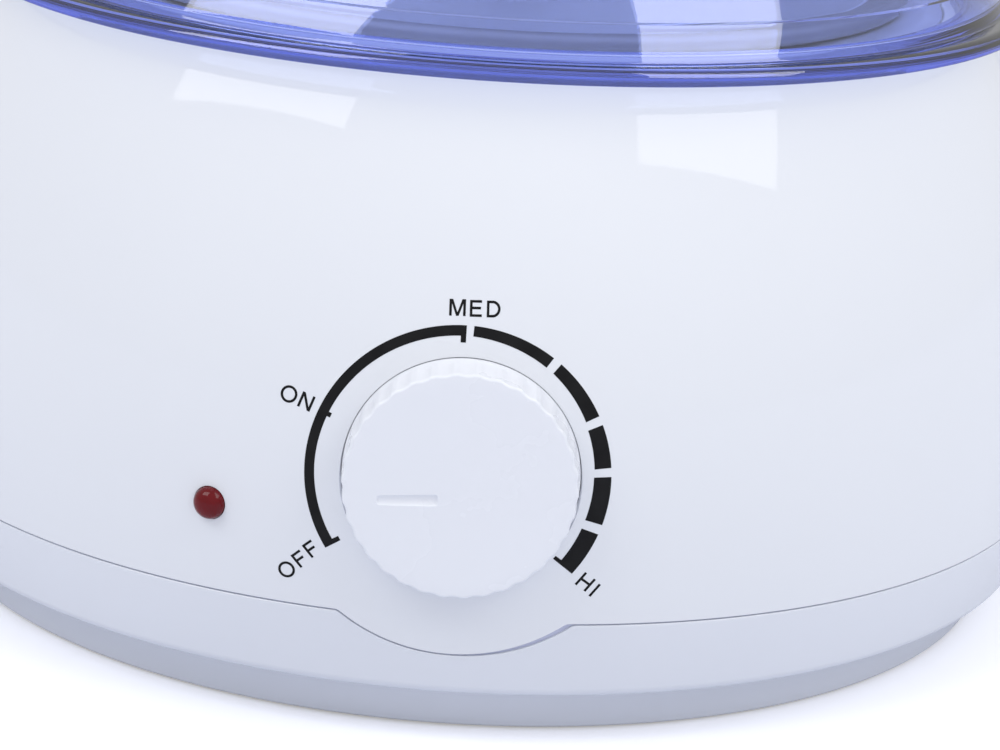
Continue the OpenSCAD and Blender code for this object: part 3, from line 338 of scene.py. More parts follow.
looks = {
    "housingWhite": (mouldedFinish, {
        "deep": (0.70, 0.722, 0.775), "pale": (0.73, 0.752, 0.80), "cloud": 9, "rough": (0.03, 0.055),
        "grain": 900, "bump": 0.015, "specular": 0.26}),
    # painted shade: the lower shell and its lip get a darker, bluer white than the upper shell, for the shade on
    # the lower part; the rougher finish is its own
    "baseShadedWhite": (mouldedFinish, {
        "deep": (0.665, 0.69, 0.755), "pale": (0.685, 0.71, 0.775), "cloud": 11, "rough": (0.12, 0.18),
        "grain": 900, "bump": 0.04, "specular": 0.4}),
    # painted shade: bluish grey for the strip behind the seam, standing in for the shade in the gap
    "seamShadeGrey": (mouldedFinish, {
        "deep": (0.50, 0.53, 0.68), "pale": (0.54, 0.57, 0.72), "cloud": 20, "rough": (0.5, 0.6),
        "grain": 900, "bump": 0.04, "specular": 0.2}),
    "knobWhite": (mouldedFinish, {
        "deep": (0.735, 0.757, 0.815), "pale": (0.745, 0.766, 0.825), "cloud": 30, "rough": (0.25, 0.32),
        "grain": 2200, "bump": 0.05, "specular": 0.4}),
    "printInk": (mouldedFinish, {
        "deep": (0.006, 0.006, 0.007), "pale": (0.011, 0.011, 0.012), "cloud": 300, "rough": (0.4, 0.55),
        "grain": 4000, "bump": 0.1, "specular": 0.12}),
    "lampRed": (mouldedFinish, {
        "deep": (0.10, 0.0008, 0.003), "pale": (0.14, 0.001, 0.005), "cloud": 250, "rough": (0.03, 0.05),
        "grain": 900, "bump": 0.02, "specular": 0.27}),
    "lidClear": (clearFinish, {
        "deep": (0.62, 0.70, 0.985), "pale": (0.65, 0.725, 0.99), "cloud": 12, "rough": (0.0, 0.02),
        "ior": 1.7, "grain": 40, "bump": 0.01, "tint": (0.26, 0.37, 0.97), "density": 100,
        "lets": (0.98, 0.98, 0.95)}),
    "lidKnobClear": (clearFinish, {
        "deep": (0.62, 0.70, 0.985), "pale": (0.65, 0.725, 0.99), "cloud": 20, "rough": (0.0, 0.02),
        "ior": 1.6, "grain": 40, "bump": 0.01, "tint": (0.28, 0.35, 0.96), "density": 40,
        "lets": (0.98, 0.98, 0.95)}),
    "rubberGrey": (mouldedFinish, {
        "deep": (0.045, 0.045, 0.05), "pale": (0.07, 0.07, 0.075), "cloud": 120, "rough": (0.55, 0.75),
        "grain": 3000, "bump": 0.25}),
    "spunAluminium": (metalFinish, {
        "deep": (0.76, 0.78, 0.82), "pale": (0.83, 0.85, 0.89), "cloud": 40, "rough": (0.46, 0.6),
        "rings": 90, "bump": 0.25}),
    # painted shade: a darker copy of the spun aluminium for the pot's rolled rim, standing in for less light on it
    "rimShadedAluminium": (metalFinish, {
        "deep": (0.34, 0.35, 0.37), "pale": (0.42, 0.43, 0.45), "cloud": 40, "rough": (0.5, 0.62),
        "rings": 90, "bump": 0.25}),
    "plainSteel": (metalFinish, {
        "deep": (0.42, 0.43, 0.45), "pale": (0.52, 0.53, 0.55), "cloud": 150, "rough": (0.28, 0.42),
        "grain": 900, "bump": 0.15}),
    "brightSteel": (metalFinish, {
        "deep": (0.62, 0.63, 0.65), "pale": (0.70, 0.71, 0.73), "cloud": 120, "rough": (0.12, 0.2),
        "grain": 700, "bump": 0.06, "stretch": (1, 1, 6)}),
    "bandSteel": (metalFinish, {
        "deep": (0.36, 0.33, 0.30), "pale": (0.50, 0.47, 0.44), "cloud": 60, "rough": (0.35, 0.5),
        "grain": 500, "bump": 0.2, "stretch": (1, 1, 8)}),
    "contactBrass": (metalFinish, {
        "deep": (0.52, 0.36, 0.13), "pale": (0.66, 0.48, 0.2), "cloud": 200, "rough": (0.22, 0.36),
        "grain": 900, "bump": 0.1}),
    "ceramicCream": (mouldedFinish, {
        "deep": (0.66, 0.62, 0.54), "pale": (0.76, 0.72, 0.64), "cloud": 260, "rough": (0.45, 0.65),
        "grain": 2500, "bump": 0.2}),
    "blockWhite": (mouldedFinish, {
        "deep": (0.58, 0.58, 0.56), "pale": (0.66, 0.66, 0.64), "cloud": 90, "rough": (0.35, 0.45),
        "grain": 1500, "bump": 0.1}),
    "neonGlass": (clearFinish, {
        "deep": (0.9, 0.82, 0.72), "pale": (0.95, 0.88, 0.8), "cloud": 300, "rough": (0.02, 0.06),
        "ior": 1.5, "grain": 500, "bump": 0.02}),
}
wireColours = {
    "wireBrown": (0.10, 0.035, 0.015),
    "wireRed": (0.35, 0.02, 0.015),
    "wireBlue": (0.02, 0.06, 0.35),
    "wireGrey": (0.22, 0.22, 0.23),
}
for wireName, shade in wireColours.items():
    looks[wireName] = (mouldedFinish, {
        "deep": tuple(c * 0.85 for c in shade), "pale": tuple(min(1, c * 1.15) for c in shade),
        "cloud": 200, "rough": (0.35, 0.5), "grain": 1800, "bump": 0.1})
finishes = {name: makeFinish(name, look) for name, (makeFinish, look) in looks.items()}
print("finishes made:", len(finishes))


def dress(piece, finishName, body, replaces=()):
    piece.data.materials.clear()
    piece.data.materials.append(finishes[finishName])
    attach(piece, body)
    if replaces:
        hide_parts(*replaces)
    return piece


# housing
housing = {
    "widest": 89.6,  # radius at the belly
    "bellyZ": 31.3,
    "sideR": 106.0,  # radius of the bulging side in section
    "wall": 2.6,
    "seamZ": 18.3,
    "seamGap": 0.2,
    "edgeSoft": 0.14,  # rounding of the edges along the seam
    "rimZ": 88.4,
    "rimRound": 2.4,
    "deckDeep": 4.2,
    "skirtZ": 6.95,
    "skirtRound": 2.0,
    "wellHole": 60.1,
    "flangeSeat": 66.8,
    "flangeDeep": 1.2,
    "grooveIn": 68.5,
    "grooveOut": 71.1,
    "grooveZ": 86.4,
    "nearHalf": 19.0,  # half the width in front that has finer steps, for the tab
}
dial = {
    "z": 38.4,
    "y": 89.36,  # where the bulging side is at the dial's height
    "tabR": 25.05,
    "tabGap": 0.2,
    "tabReach": 3.0,  # how far up from the seam the tab's edge may count
    "wedge": 0.9,  # how far the groove widens at the tab's right end
    "wedgeSoft": 0.15,
    "seatDeep": 2.6,
    "seatR": 15.62,
    "seatEdge": 0.33,  # how much wider the seat's bevelled edge is
    "bevelY": 87.72,
    "padDeep": 2.4,
    "padR": 18.4,
    "padNeck": 16.4,
    "bushR": 4.65,
    "cornerSoft": 0.25,
}
farAbove = 1e3  # stands for no edge at all
sideX = housing["widest"] - housing["sideR"]


def sideAt(z, inset=0.0):
    return sideX + math.sqrt((housing["sideR"] - inset) ** 2 - (z - housing["bellyZ"]) ** 2)


def sideDeg(z, inset=0.0):
    return math.degrees(math.asin((z - housing["bellyZ"]) / (housing["sideR"] - inset)))


def softMin(a, b, soft):
    h = max(0.0, min(1.0, 0.5 + 0.5 * (b - a) / soft))
    return b * (1 - h) + a * h - soft * h * (1 - h)


def tabLine(angle, radius, shift=0.0):
    # height of the tab's round edge above the table at this angle round the housing
    z = housing["seamZ"]
    for _ in range(6):
        x = sideAt(z) * math.sin(angle) - shift
        if abs(x) >= radius or math.cos(angle) < 0:
            return farAbove
        z = max(dial["z"] - math.sqrt(radius * radius - x * x), 5.0)
    return z if z <= housing["seamZ"] + dial["tabReach"] else farAbove


def upperEdge(angle):
    line = tabLine(angle, dial["tabR"])
    return softMin(housing["seamZ"] + housing["seamGap"] / 2, line, dial["cornerSoft"])


def lowerEdge(angle):
    line = tabLine(angle, dial["tabR"] + dial["tabGap"])
    if math.sin(angle) > 0:
        widened = tabLine(angle, dial["tabR"] + dial["tabGap"], dial["wedge"])
        line = softMin(line, widened, dial["wedgeSoft"])
    return softMin(housing["seamZ"] - housing["seamGap"] / 2, line, dial["cornerSoft"])


def shellAngles():
    edge = math.asin(housing["nearHalf"] / sideAt(housing["seamZ"]))
    near = np.linspace(-edge, edge, 141)
    rest = np.linspace(edge, 2 * math.pi - edge, 340)[1:-1]
    return np.concatenate([near, rest])


def sidePoints(low, high, count, inset=0.0):
    return [(sideAt(z, inset), z) for z in np.linspace(low, high, count)]


def upperOutline(bottom):
    h = housing
    topZ = h["rimZ"] - h["rimRound"]
    topX = sideAt(topZ, h["rimRound"])
    topDeg = sideDeg(topZ, h["rimRound"])
    filletZ = topZ + h["rimRound"] * math.sin(math.radians(topDeg))
    deckUnder = h["rimZ"] - h["deckDeep"]
    corners = [(sideAt(bottom, h["wall"]), bottom), (sideAt(bottom), bottom, h["edgeSoft"])]
    corners += sidePoints(bottom + 0.5, filletZ, 44)
    corners += arcPoints((topX, topZ), h["rimRound"], topDeg, 90, 10)[1:]
    corners += [
        (h["grooveOut"], h["rimZ"], 0.2), (h["grooveOut"], h["grooveZ"], 0.3),
        (h["grooveIn"], h["grooveZ"], 0.3), (h["grooveIn"], h["rimZ"], 0.25),
        (h["flangeSeat"], h["rimZ"], 0.2), (h["flangeSeat"], h["rimZ"] - h["flangeDeep"]),
        (h["wellHole"], h["rimZ"] - h["flangeDeep"]), (h["wellHole"], deckUnder),
        (sideAt(deckUnder, h["wall"]), deckUnder),
    ]
    corners += sidePoints(deckUnder - 1, bottom + 1, 24, h["wall"])
    return softCorners(corners)


def analyticNormals(piece, low, high):
    # the boolean cuts leave long faces on the bulging side, so its shading normals come from the arc itself
    onArc = 0.01  # mm off the arc that still counts as on it
    alike = 0.97  # cosine between a face's normal and the arc's
    data = piece.data
    smoothOver(piece, 30)
    count = len(data.loops)
    normals = np.zeros(count * 3, np.float32)
    data.corner_normals.foreach_get("vector", normals)
    normals = normals.reshape(-1, 3)
    spots = np.zeros(len(data.vertices) * 3)
    data.vertices.foreach_get("co", spots)
    spots = spots.reshape(-1, 3) / mm
    radius = np.hypot(spots[:, 0], spots[:, 1])
    outX, outZ = radius - sideX, spots[:, 2] - housing["bellyZ"]
    reach = np.hypot(outX, outZ)
    flat = np.maximum(radius, 1e-6)
    true = np.stack([spots[:, 0] / flat * outX, spots[:, 1] / flat * outX, outZ], -1) / reach[:, None]
    onSide = (abs(reach - housing["sideR"]) < onArc) & (spots[:, 2] > low) & (spots[:, 2] < high)
    vertexOf = np.zeros(count, np.int32)
    data.loops.foreach_get("vertex_index", vertexOf)
    faceNormal = np.zeros(len(data.polygons) * 3, np.float32)
    data.polygons.foreach_get("normal", faceNormal)
    faceNormal = faceNormal.reshape(-1, 3)
    starts = np.zeros(len(data.polygons), np.int32)
    totals = np.zeros(len(data.polygons), np.int32)
    data.polygons.foreach_get("loop_start", starts)
    data.polygons.foreach_get("loop_total", totals)
    faceOf = np.repeat(np.arange(len(starts)), totals)
    good = onSide[vertexOf] & ((faceNormal[faceOf] * true[vertexOf]).sum(1) > alike)
    normals[good] = true[vertexOf[good]]
    data.normals_split_custom_set(normals.tolist())
    return piece


dialFrame = outwardFrame(0, dial["z"])
lamp = {"azimuth": -21.5, "z": 30.6, "lensR": 2.22, "lensDeep": 5.6, "rise": 1.75, "holeR": 2.3, "holeDeep": 8.0}
lampFrame = outwardFrame(lamp["azimuth"], lamp["z"])
lampY = sideAt(lamp["z"])


def makeUpperShell():
    angles = shellAngles()
    outlines = [upperOutline(upperEdge(a)) for a in angles]
    shell = turned("upperShell", outlines, angles)
    seatY = dial["y"] - dial["seatDeep"]
    padY = seatY - dial["padDeep"]
    padOutline = [(0, padY), (dial["padR"], padY), (dial["padR"], seatY - 0.9),
                  (dial["padNeck"], seatY + 0.2), (0, seatY + 0.2)]
    pad = turned("pad", padOutline, steps=128, closed=False, frameMatrix=dialFrame)
    carve(shell, [pad], "UNION")
    seatR, wideR, bevelY, outY = dial["seatR"], dial["seatR"] + dial["seatEdge"], dial["bevelY"], dial["y"] + 8
    seatOutline = [(0, seatY), (seatR, seatY), (seatR, bevelY), (wideR, bevelY + 0.5), (wideR, outY), (0, outY)]
    seat = turned("seat", seatOutline, steps=160, closed=False, frameMatrix=dialFrame)
    bush = post("bush", dial["bushR"], padY - 2, seatY + 1, steps=64, frameMatrix=dialFrame)
    hole = post("hole", lamp["holeR"], lampY - lamp["holeDeep"], lampY + lamp["holeDeep"], steps=72,
                frameMatrix=lampFrame)
    carve(shell, [seat, bush, hole])
    return analyticNormals(shell, 10, housing["rimZ"] - 2)


base = {
    "footOut": 81.7,
    "footDraft": 0.8,
    "footThick": 7.0,
    "floorTop": 7.4,
    "floorUnder": 5.0,
    "padProud": 0.4,
    "padGroove": 1.2,
    "padR": 77.8,
    "padWide": 4.0,
    "postR": 70.5,
    "postWide": 4.2,
    "postTop": 15.5,
    "headHole": 3.1,
    "headSeat": 11.5,
    "shankHole": 1.65,
    "vents": 4,
    "ventPitch": 7.0,
    "ventWide": 3.0,
    "ventFrom": 8.0,
    "ventLong": 34.0,
    "glandZ": 12.7,
    "glandHole": 4.25,
    "glandSeatR": 5.4,
    "glandSeatIn": 84.5,
    "glandSeatY": 89.08,
}
glandFrame = Matrix(((1, 0, 0, 0), (0, 0, 1, 0), (0, -1, 0, base["glandZ"]), (0, 0, 0, 1)))  # z points to the rear


def lowerOutline(top):
    h, b = housing, base
    roundZ = h["skirtZ"] + h["skirtRound"]
    roundX = sideAt(roundZ, h["skirtRound"])
    roundDeg = sideDeg(roundZ, h["skirtRound"])
    roundTop = roundZ + h["skirtRound"] * math.sin(math.radians(roundDeg))
    footIn = b["footOut"] - b["footThick"]
    footLow = b["footOut"] - b["footDraft"]
    grooveIn, grooveOut = b["padR"] - b["padWide"] / 2, b["padR"] + b["padWide"] / 2
    corners = [
        (0, b["floorUnder"]), (footIn, b["floorUnder"], 0.6), (footIn, b["padProud"], 0.3),
        (grooveIn, b["padProud"]), (grooveIn, b["padProud"] + b["padGroove"]),
        (grooveOut, b["padProud"] + b["padGroove"]), (grooveOut, b["padProud"]),
        (footLow, b["padProud"], 0.3), (b["footOut"], h["skirtZ"], 0.4),
    ]
    corners += arcPoints((roundX, roundZ), h["skirtRound"], -90, roundDeg, 9)
    corners += sidePoints(roundTop, top - 0.5, 9)[1:]
    inner = max(top, b["floorTop"] + 1)
    corners += [(sideAt(top), top, h["edgeSoft"]), (sideAt(inner, h["wall"]), inner)]
    corners += sidePoints(inner - 0.5, b["floorTop"], 6, h["wall"])
    corners += [(0, b["floorTop"])]
    return softCorners(corners)


def atPosts():
    turns = [math.radians(45 + 90 * i) for i in range(4)]
    return [(base["postR"] * math.cos(a), base["postR"] * math.sin(a)) for a in turns]


def makeLowerShell():
    b = base
    angles = shellAngles()
    outlines = [lowerOutline(lowerEdge(a)) for a in angles]
    shell = turned("lowerShell", outlines, angles, closed=False)
    joins = [post("post", b["postWide"], b["floorUnder"] + 0.5, b["postTop"], place=p, steps=48)
             for p in atPosts()]
    joins.append(post("glandSeat", b["glandSeatR"], b["glandSeatIn"], b["glandSeatY"], steps=96,
                      frameMatrix=glandFrame))
    carve(shell, joins, "UNION")
    cuts = [post("head", b["headHole"], -1, b["headSeat"], place=p, steps=64) for p in atPosts()]
    cuts += [post("shank", b["shankHole"], 5, 30, place=p, steps=32) for p in atPosts()]
    cuts.append(post("inlet", b["glandHole"], 70, 100, steps=80, frameMatrix=glandFrame))
    ventLow, ventHigh = b["floorUnder"] - 2, b["floorUnder"] + 4
    for side in (-1, 1):
        for i in range(b["vents"]):
            x = (i - (b["vents"] - 1) / 2) * b["ventPitch"]
            y0, y1 = sorted((side * b["ventFrom"], side * (b["ventFrom"] + b["ventLong"])))
            cuts.append(box("vent", (x - b["ventWide"] / 2, y0, ventLow), (x + b["ventWide"] / 2, y1, ventHigh)))
    carve(shell, cuts)
    return analyticNormals(shell, 8, 18)


upperShell = makeUpperShell()
dress(upperShell, "housingWhite", "housing", ["upper_housing"])
print("upper shell made:", len(upperShell.data.polygons), "faces")
lowerShell = makeLowerShell()
# the lower shell's darker, bluer white is painted shade
dress(lowerShell, "baseShadedWhite", "housing", ["lower_housing"])
print("lower shell made:", len(lowerShell.data.polygons), "faces")

# lip of the lower shell behind the seam; the first four are heights from the seam
tongue = {"low": -4.0, "joins": -1.0, "frees": -0.6, "high": 2.0,
          "gap": 0.3, "root": 0.4, "thick": 1.4, "beside": 0.6}


def makeTongue():
    # it is left out behind the tab
    start = math.asin((dial["tabR"] + tongue["beside"]) / sideAt(housing["seamZ"]))
    angles = np.linspace(start, 2 * math.pi - start, 300)
    low, joins, frees, high = (housing["seamZ"] + tongue[key] for key in ("low", "joins", "frees", "high"))
    out = housing["wall"] + tongue["gap"]
    outline = [(sideAt(z, inset), z) for z, inset in (
        (low, out + tongue["thick"]), (low, out - tongue["root"]), (joins, out - tongue["root"]),
        (frees, out), (high, out), (high, out + tongue["thick"]))]
    points, faces = [], []
    for a in angles:
        points += [(r * math.sin(a), -r * math.cos(a), z) for r, z in outline]
    n = len(outline)
    for i in range(len(angles) - 1):
        for j in range(n):
            k = (j + 1) % n
            faces.append((i * n + j, (i + 1) * n + j, (i + 1) * n + k, i * n + k))
    faces.append(tuple(range(n)))
    faces.append(tuple((len(angles) - 1) * n + j for j in range(n))[::-1])
    return smoothOver(pieceFromMesh("seamTongue", points, faces))


# the lip behind the seam uses the same darker, bluer white, which is painted shade
dress(makeTongue(), "baseShadedWhite", "housing")

# painted shade: a bluish grey strip just behind the surface closes the seam gap and stands in for the shade inside
# it
seamShadeStrip = {"behind": 0.45, "thick": 0.35, "under": 0.5}


def makeSeamShadeStrip():
    angles = shellAngles()
    front, rear = seamShadeStrip["behind"], seamShadeStrip["behind"] + seamShadeStrip["thick"]
    outlines = []
    for a in angles:
        low, high = lowerEdge(a) - seamShadeStrip["under"], upperEdge(a) + seamShadeStrip["under"]
        section = ((low, front), (high, front), (high, rear), (low, rear))
        outlines.append([(sideAt(z, inset), z) for z, inset in section])
    return smoothOver(turned("seamShadeStrip", outlines, angles), 40)


dress(makeSeamShadeStrip(), "seamShadeGrey", "housing")

# rubber ring under the foot
padRing = {"in": 75.95, "out": 79.65, "top": 1.55, "soft": 0.35}
footPad = turned("footPadRing", softCorners([
    (padRing["in"], 0, padRing["soft"]), (padRing["out"], 0, padRing["soft"]),
    (padRing["out"], padRing["top"], 0.1), (padRing["in"], padRing["top"], 0.1)]), steps=300)
dress(smoothOver(footPad), "rubberGrey", "housing", ["foot_pad_ring"])

# cord gland
gland = {"low": 82.0, "collar": 89.12, "end": 92.08, "barrelR": 4.1, "boreR": 3.2, "barbR": 5.0, "tipR": 4.4,
         "barbLong": 1.8, "collarR": 5.0, "waistR": 4.45, "beadR": 4.75, "endR": 4.5}


def makeGland():
    g = gland
    outline = softCorners([
        (g["boreR"], g["low"], 0.2), (g["tipR"], g["low"], 0.2), (g["barbR"], g["low"] + g["barbLong"], 0.2),
        (g["barrelR"], g["low"] + g["barbLong"] + 0.05), (g["barrelR"], g["collar"]),
        (g["collarR"], g["collar"], 0.15), (g["collarR"] - 0.1, g["collar"] + 0.9, 0.1),
        (g["waistR"], g["collar"] + 1.05, 0.1), (g["waistR"], g["collar"] + 1.5, 0.1),
        (g["beadR"], g["collar"] + 1.65, 0.1), (g["endR"], g["end"], 0.5), (g["boreR"], g["end"], 0.4)])
    return smoothOver(turned("cordGland", outline, steps=96, frameMatrix=glandFrame))


dress(makeGland(), "rubberGrey", "housing", ["cord_gland"])
print("base fittings made")

# lamp lens
backY, domeY = lampY - lamp["lensDeep"], lampY - 0.05
lensOutline = [(0, backY), (lamp["lensR"], backY), (lamp["lensR"], lampY - 0.25)]
lensOutline += [(lamp["lensR"] * math.cos(t), domeY + lamp["rise"] * math.sin(t))
                for t in np.linspace(0.0, math.pi / 2, 14)[:-1]]
lensOutline += [(0, domeY + lamp["rise"])]
lens = turned("lampLens", softCorners(lensOutline), steps=96, closed=False, frameMatrix=lampFrame)
dress(smoothOver(lens, 40), "lampRed", "housing", ["indicator_lens"])

# dial knob
knob = {
    "faceR": 15.25,
    "backR": 15.55,
    "back": 87.06,
    "face": 93.56,
    "wall": 1.8,
    "edgeSoft": 0.4,
    "crown": 0.25,  # how much the face bulges
    "boreR": 3.05,
    "bossR": 5.5,
    "bossBack": 1.2,
    "flutes": 34,
    "fluteDeep": 0.2,
    "fluteR": 2.6,
    "fluteIn": 13.5,  # the flutes grow from this radius outward
    "collar": 0.9,  # plain stretch at the back, without flutes
    "grooveIn": 2.55,
    "grooveLong": 8.5,
    "grooveSide": 1.66,
    "grooveDeg": 184.0,
    "grooveWide": 1.65,
    "grooveDeep": 0.32,
}


def makeKnob():
    k = knob
    deep = k["face"] - k["back"]
    ceiling = deep - k["wall"]
    inner = k["faceR"] - k["wall"]
    corners = [(0, ceiling), (k["boreR"], ceiling), (k["boreR"], k["bossBack"]), (k["bossR"], k["bossBack"], 0.2),
               (k["bossR"], ceiling), (inner, ceiling), (inner, 0.0), (k["backR"], 0.0, 0.25)]
    corners += [(k["backR"] + (k["faceR"] - k["backR"]) * t, deep * t) for t in (0.14, 0.24, 0.32, 0.5, 0.75)]
    corners += [(k["faceR"], deep - k["crown"], k["edgeSoft"])]
    corners += [(r, deep - k["crown"] * (r / k["faceR"]) ** 2) for r in (13.4, 12, 9, 6, 3)]
    corners += [(0, deep)]
    plain = np.array(softCorners(corners, 6))
    perFlute = 16
    count = k["flutes"] * perFlute
    angles = np.arange(count) * (2 * math.pi / count)
    pitch = 2 * math.pi / k["flutes"]
    outlines = []
    for a in angles:
        off = (a + pitch / 2) % pitch - pitch / 2
        x = min(abs(off) * k["faceR"], k["fluteR"])
        bite = max(0.0, math.sqrt(k["fluteR"] ** 2 - x * x) - (k["fluteR"] - k["fluteDeep"]))
        outline = plain.copy()
        reach = np.clip((outline[:, 0] - k["fluteIn"]) / 0.9, 0, 1)
        reach *= np.clip((outline[:, 1] - k["collar"]) / 1.2, 0, 1)
        outline[:, 0] -= bite * reach
        outlines.append(outline)
    piece = turned("dialKnob", outlines, angles, closed=False,
                   frameMatrix=dialFrame @ Matrix.Translation((0, 0, k["back"])))
    # the pointer groove is a shallow scoop
    scoopR = ((k["grooveWide"] / 2) ** 2 + k["grooveDeep"] ** 2) / (2 * k["grooveDeep"])
    turn = dialFrame @ Matrix.Rotation(math.radians(k["grooveDeg"]), 4, "Z")
    height = k["face"] - k["grooveDeep"] + scoopR
    path, scale = [], []
    for t in np.linspace(0, 1, 41):
        along = k["grooveLong"] * t
        near = min(along, k["grooveLong"] - along) / 0.55
        path.append(turn @ Vector((k["grooveIn"] + along, k["grooveSide"], height)))
        scale.append(max(0.02, math.sqrt(max(0.0, 1 - (1 - min(near, 1)) ** 2))))
    scoop = sweep("scoop", path, scoopR, 40, scale)
    carve(piece, [scoop])
    return smoothOver(piece, 28)


dress(makeKnob(), "knobWhite", "dial", ["control_knob"])
print("dial knob made")

# printed scale, drawn flat and then laid on the side; angles are in degrees from the right
scale = {
    "azimuth": -0.29,
    "radius": 89.4,
    "lean": 0.081,
    "centreV": -0.16,
    "outer": 19.96,
    "raise": 0.022,
    "sink": 0.03,
    "stepDeg": 1.5,
    "capHeight": 2.12,
    "stroke": 0.155,  # of the cap height
}
# angle and inner radius of the band, first and last angle of its segments
scaleInner = [(-40, 17.62), (-16, 17.6), (3, 17.7), (7, 17.79), (24, 17.95), (27, 18.1), (52, 18.4), (55, 18.42),
              (87, 18.62), (92, 18.62), (140, 18.62), (180, 18.66), (214, 18.55)]
scaleArcs = [(90.2, 213.6), (55.2, 87.4), (27.1, 51.6), (6.6, 23.5), (-15.9, 3.1), (-38.0, -19.8)]
# marks: first and last angle, radius they reach in to; letters: across, up, turned by
scaleMarks = [(90.2, 92.35, 17.76), (156.9, 158.9, 18.2), (211.5, 213.6, 17.64), (-38.2, -36.2, 16.65)]
letterPlaces = [
    ("M", -1.42, 21.97, 2.0), ("E", 0.94, 22.0, 2.2), ("D", 3.22, 22.06, 2.6),
    ("O", -22.5, 8.82, -20.0), ("N", -20.18, 8.12, -20.0),
    ("O", -21.63, -14.98, 46.0), ("F", -19.93, -13.22, 42.5), ("F", -18.5, -11.62, 42.0),
    ("H", 17.57, -13.58, -36.5), ("I", 18.9, -14.75, -36.5),
]
scaleTurn = math.radians(scale["azimuth"])
scaleOut = Vector((math.sin(scaleTurn), -math.cos(scaleTurn), 0))
scaleNormal = (scaleOut + Vector((0, 0, scale["lean"]))).normalized()
scaleRight = Vector((math.cos(scaleTurn), math.sin(scaleTurn), 0))
scaleUp = (Vector((0, 0, 1)) - scaleOut * scale["lean"]).normalized()
scaleMiddle = scaleOut * scale["radius"] + Vector((0, 0, dial["z"]))


def onSide(u, v, lift):
    # a point of the flat scale laid on the bulging side
    spot = scaleMiddle + scaleRight * u + scaleUp * v
    for _ in range(6):
        radius = math.hypot(spot.x, spot.y)
        outX = radius - sideX
        out = Vector((spot.x / radius * outX, spot.y / radius * outX, spot.z - housing["bellyZ"]))
        reach = out.length
        out /= reach
        spot = spot - scaleNormal * ((reach - housing["sideR"]) / scaleNormal.dot(out))
    return spot + out * lift


def bow(cx, cy, rx, ry, fromDeg, toDeg, count):
    angles = [math.radians(a) for a in np.linspace(fromDeg, toDeg, count)]
    return [(cx + rx * math.cos(a), cy + ry * math.sin(a)) for a in angles]


def letterShapes():
    # width and outlines of each letter for a cap height of 1, or its outer and inner outline
    s = scale["stroke"]
    dOut = bow(0.36, 0.5, 0.47, 0.5, -90, 90, 19)
    dIn = bow(0.34, 0.5, 0.47 - s + 0.02, 0.5 - s, -90, 90, 19)
    oOut = bow(0.52, 0.5, 0.52, 0.54, 0, 360, 49)[:-1]
    oIn = bow(0.52, 0.5, 0.52 - s, 0.54 - s, 0, 360, 49)[:-1]
    return {
        "M": (1.0, [[(0, 0), (s, 0), (s, 0.74), (0.5 - s * 0.5, 0), (0.5 + s * 0.5, 0), (1 - s, 0.74),
                     (1 - s, 0), (1, 0), (1, 1), (1 - s * 1.4, 1), (0.5, 0.21), (s * 1.4, 1), (0, 1)]], None),
        "E": (0.73, [[(0, 0), (0.73, 0), (0.73, s), (s, s), (s, 0.45), (0.67, 0.45), (0.67, 0.45 + s),
                      (s, 0.45 + s), (s, 1 - s), (0.72, 1 - s), (0.72, 1), (0, 1)]], None),
        "D": (0.83, None, ([(0, 0)] + dOut + [(0, 1)], [(s, s)] + dIn + [(s, 1 - s)])),
        "O": (1.04, None, (oOut, oIn)),
        "N": (0.84, [[(0, 0), (s, 0), (s, 0.76), (0.84 - s * 1.15, 0), (0.84, 0), (0.84, 1), (0.84 - s, 1),
                      (0.84 - s, 0.24), (s * 1.15, 1), (0, 1)]], None),
        "F": (0.70, [[(0, 0), (s, 0), (s, 0.43), (0.62, 0.43), (0.62, 0.43 + s), (s, 0.43 + s), (s, 1 - s),
                      (0.70, 1 - s), (0.70, 1), (0, 1)]], None),
        "H": (0.87, [[(0, 0), (s, 0), (s, 0.44), (0.87 - s, 0.44), (0.87 - s, 0), (0.87, 0), (0.87, 1),
                      (0.87 - s, 1), (0.87 - s, 0.44 + s), (s, 0.44 + s), (s, 1), (0, 1)]], None),
        "I": (s, [[(0, 0), (s, 0), (s, 1), (0, 1)]], None),
    }


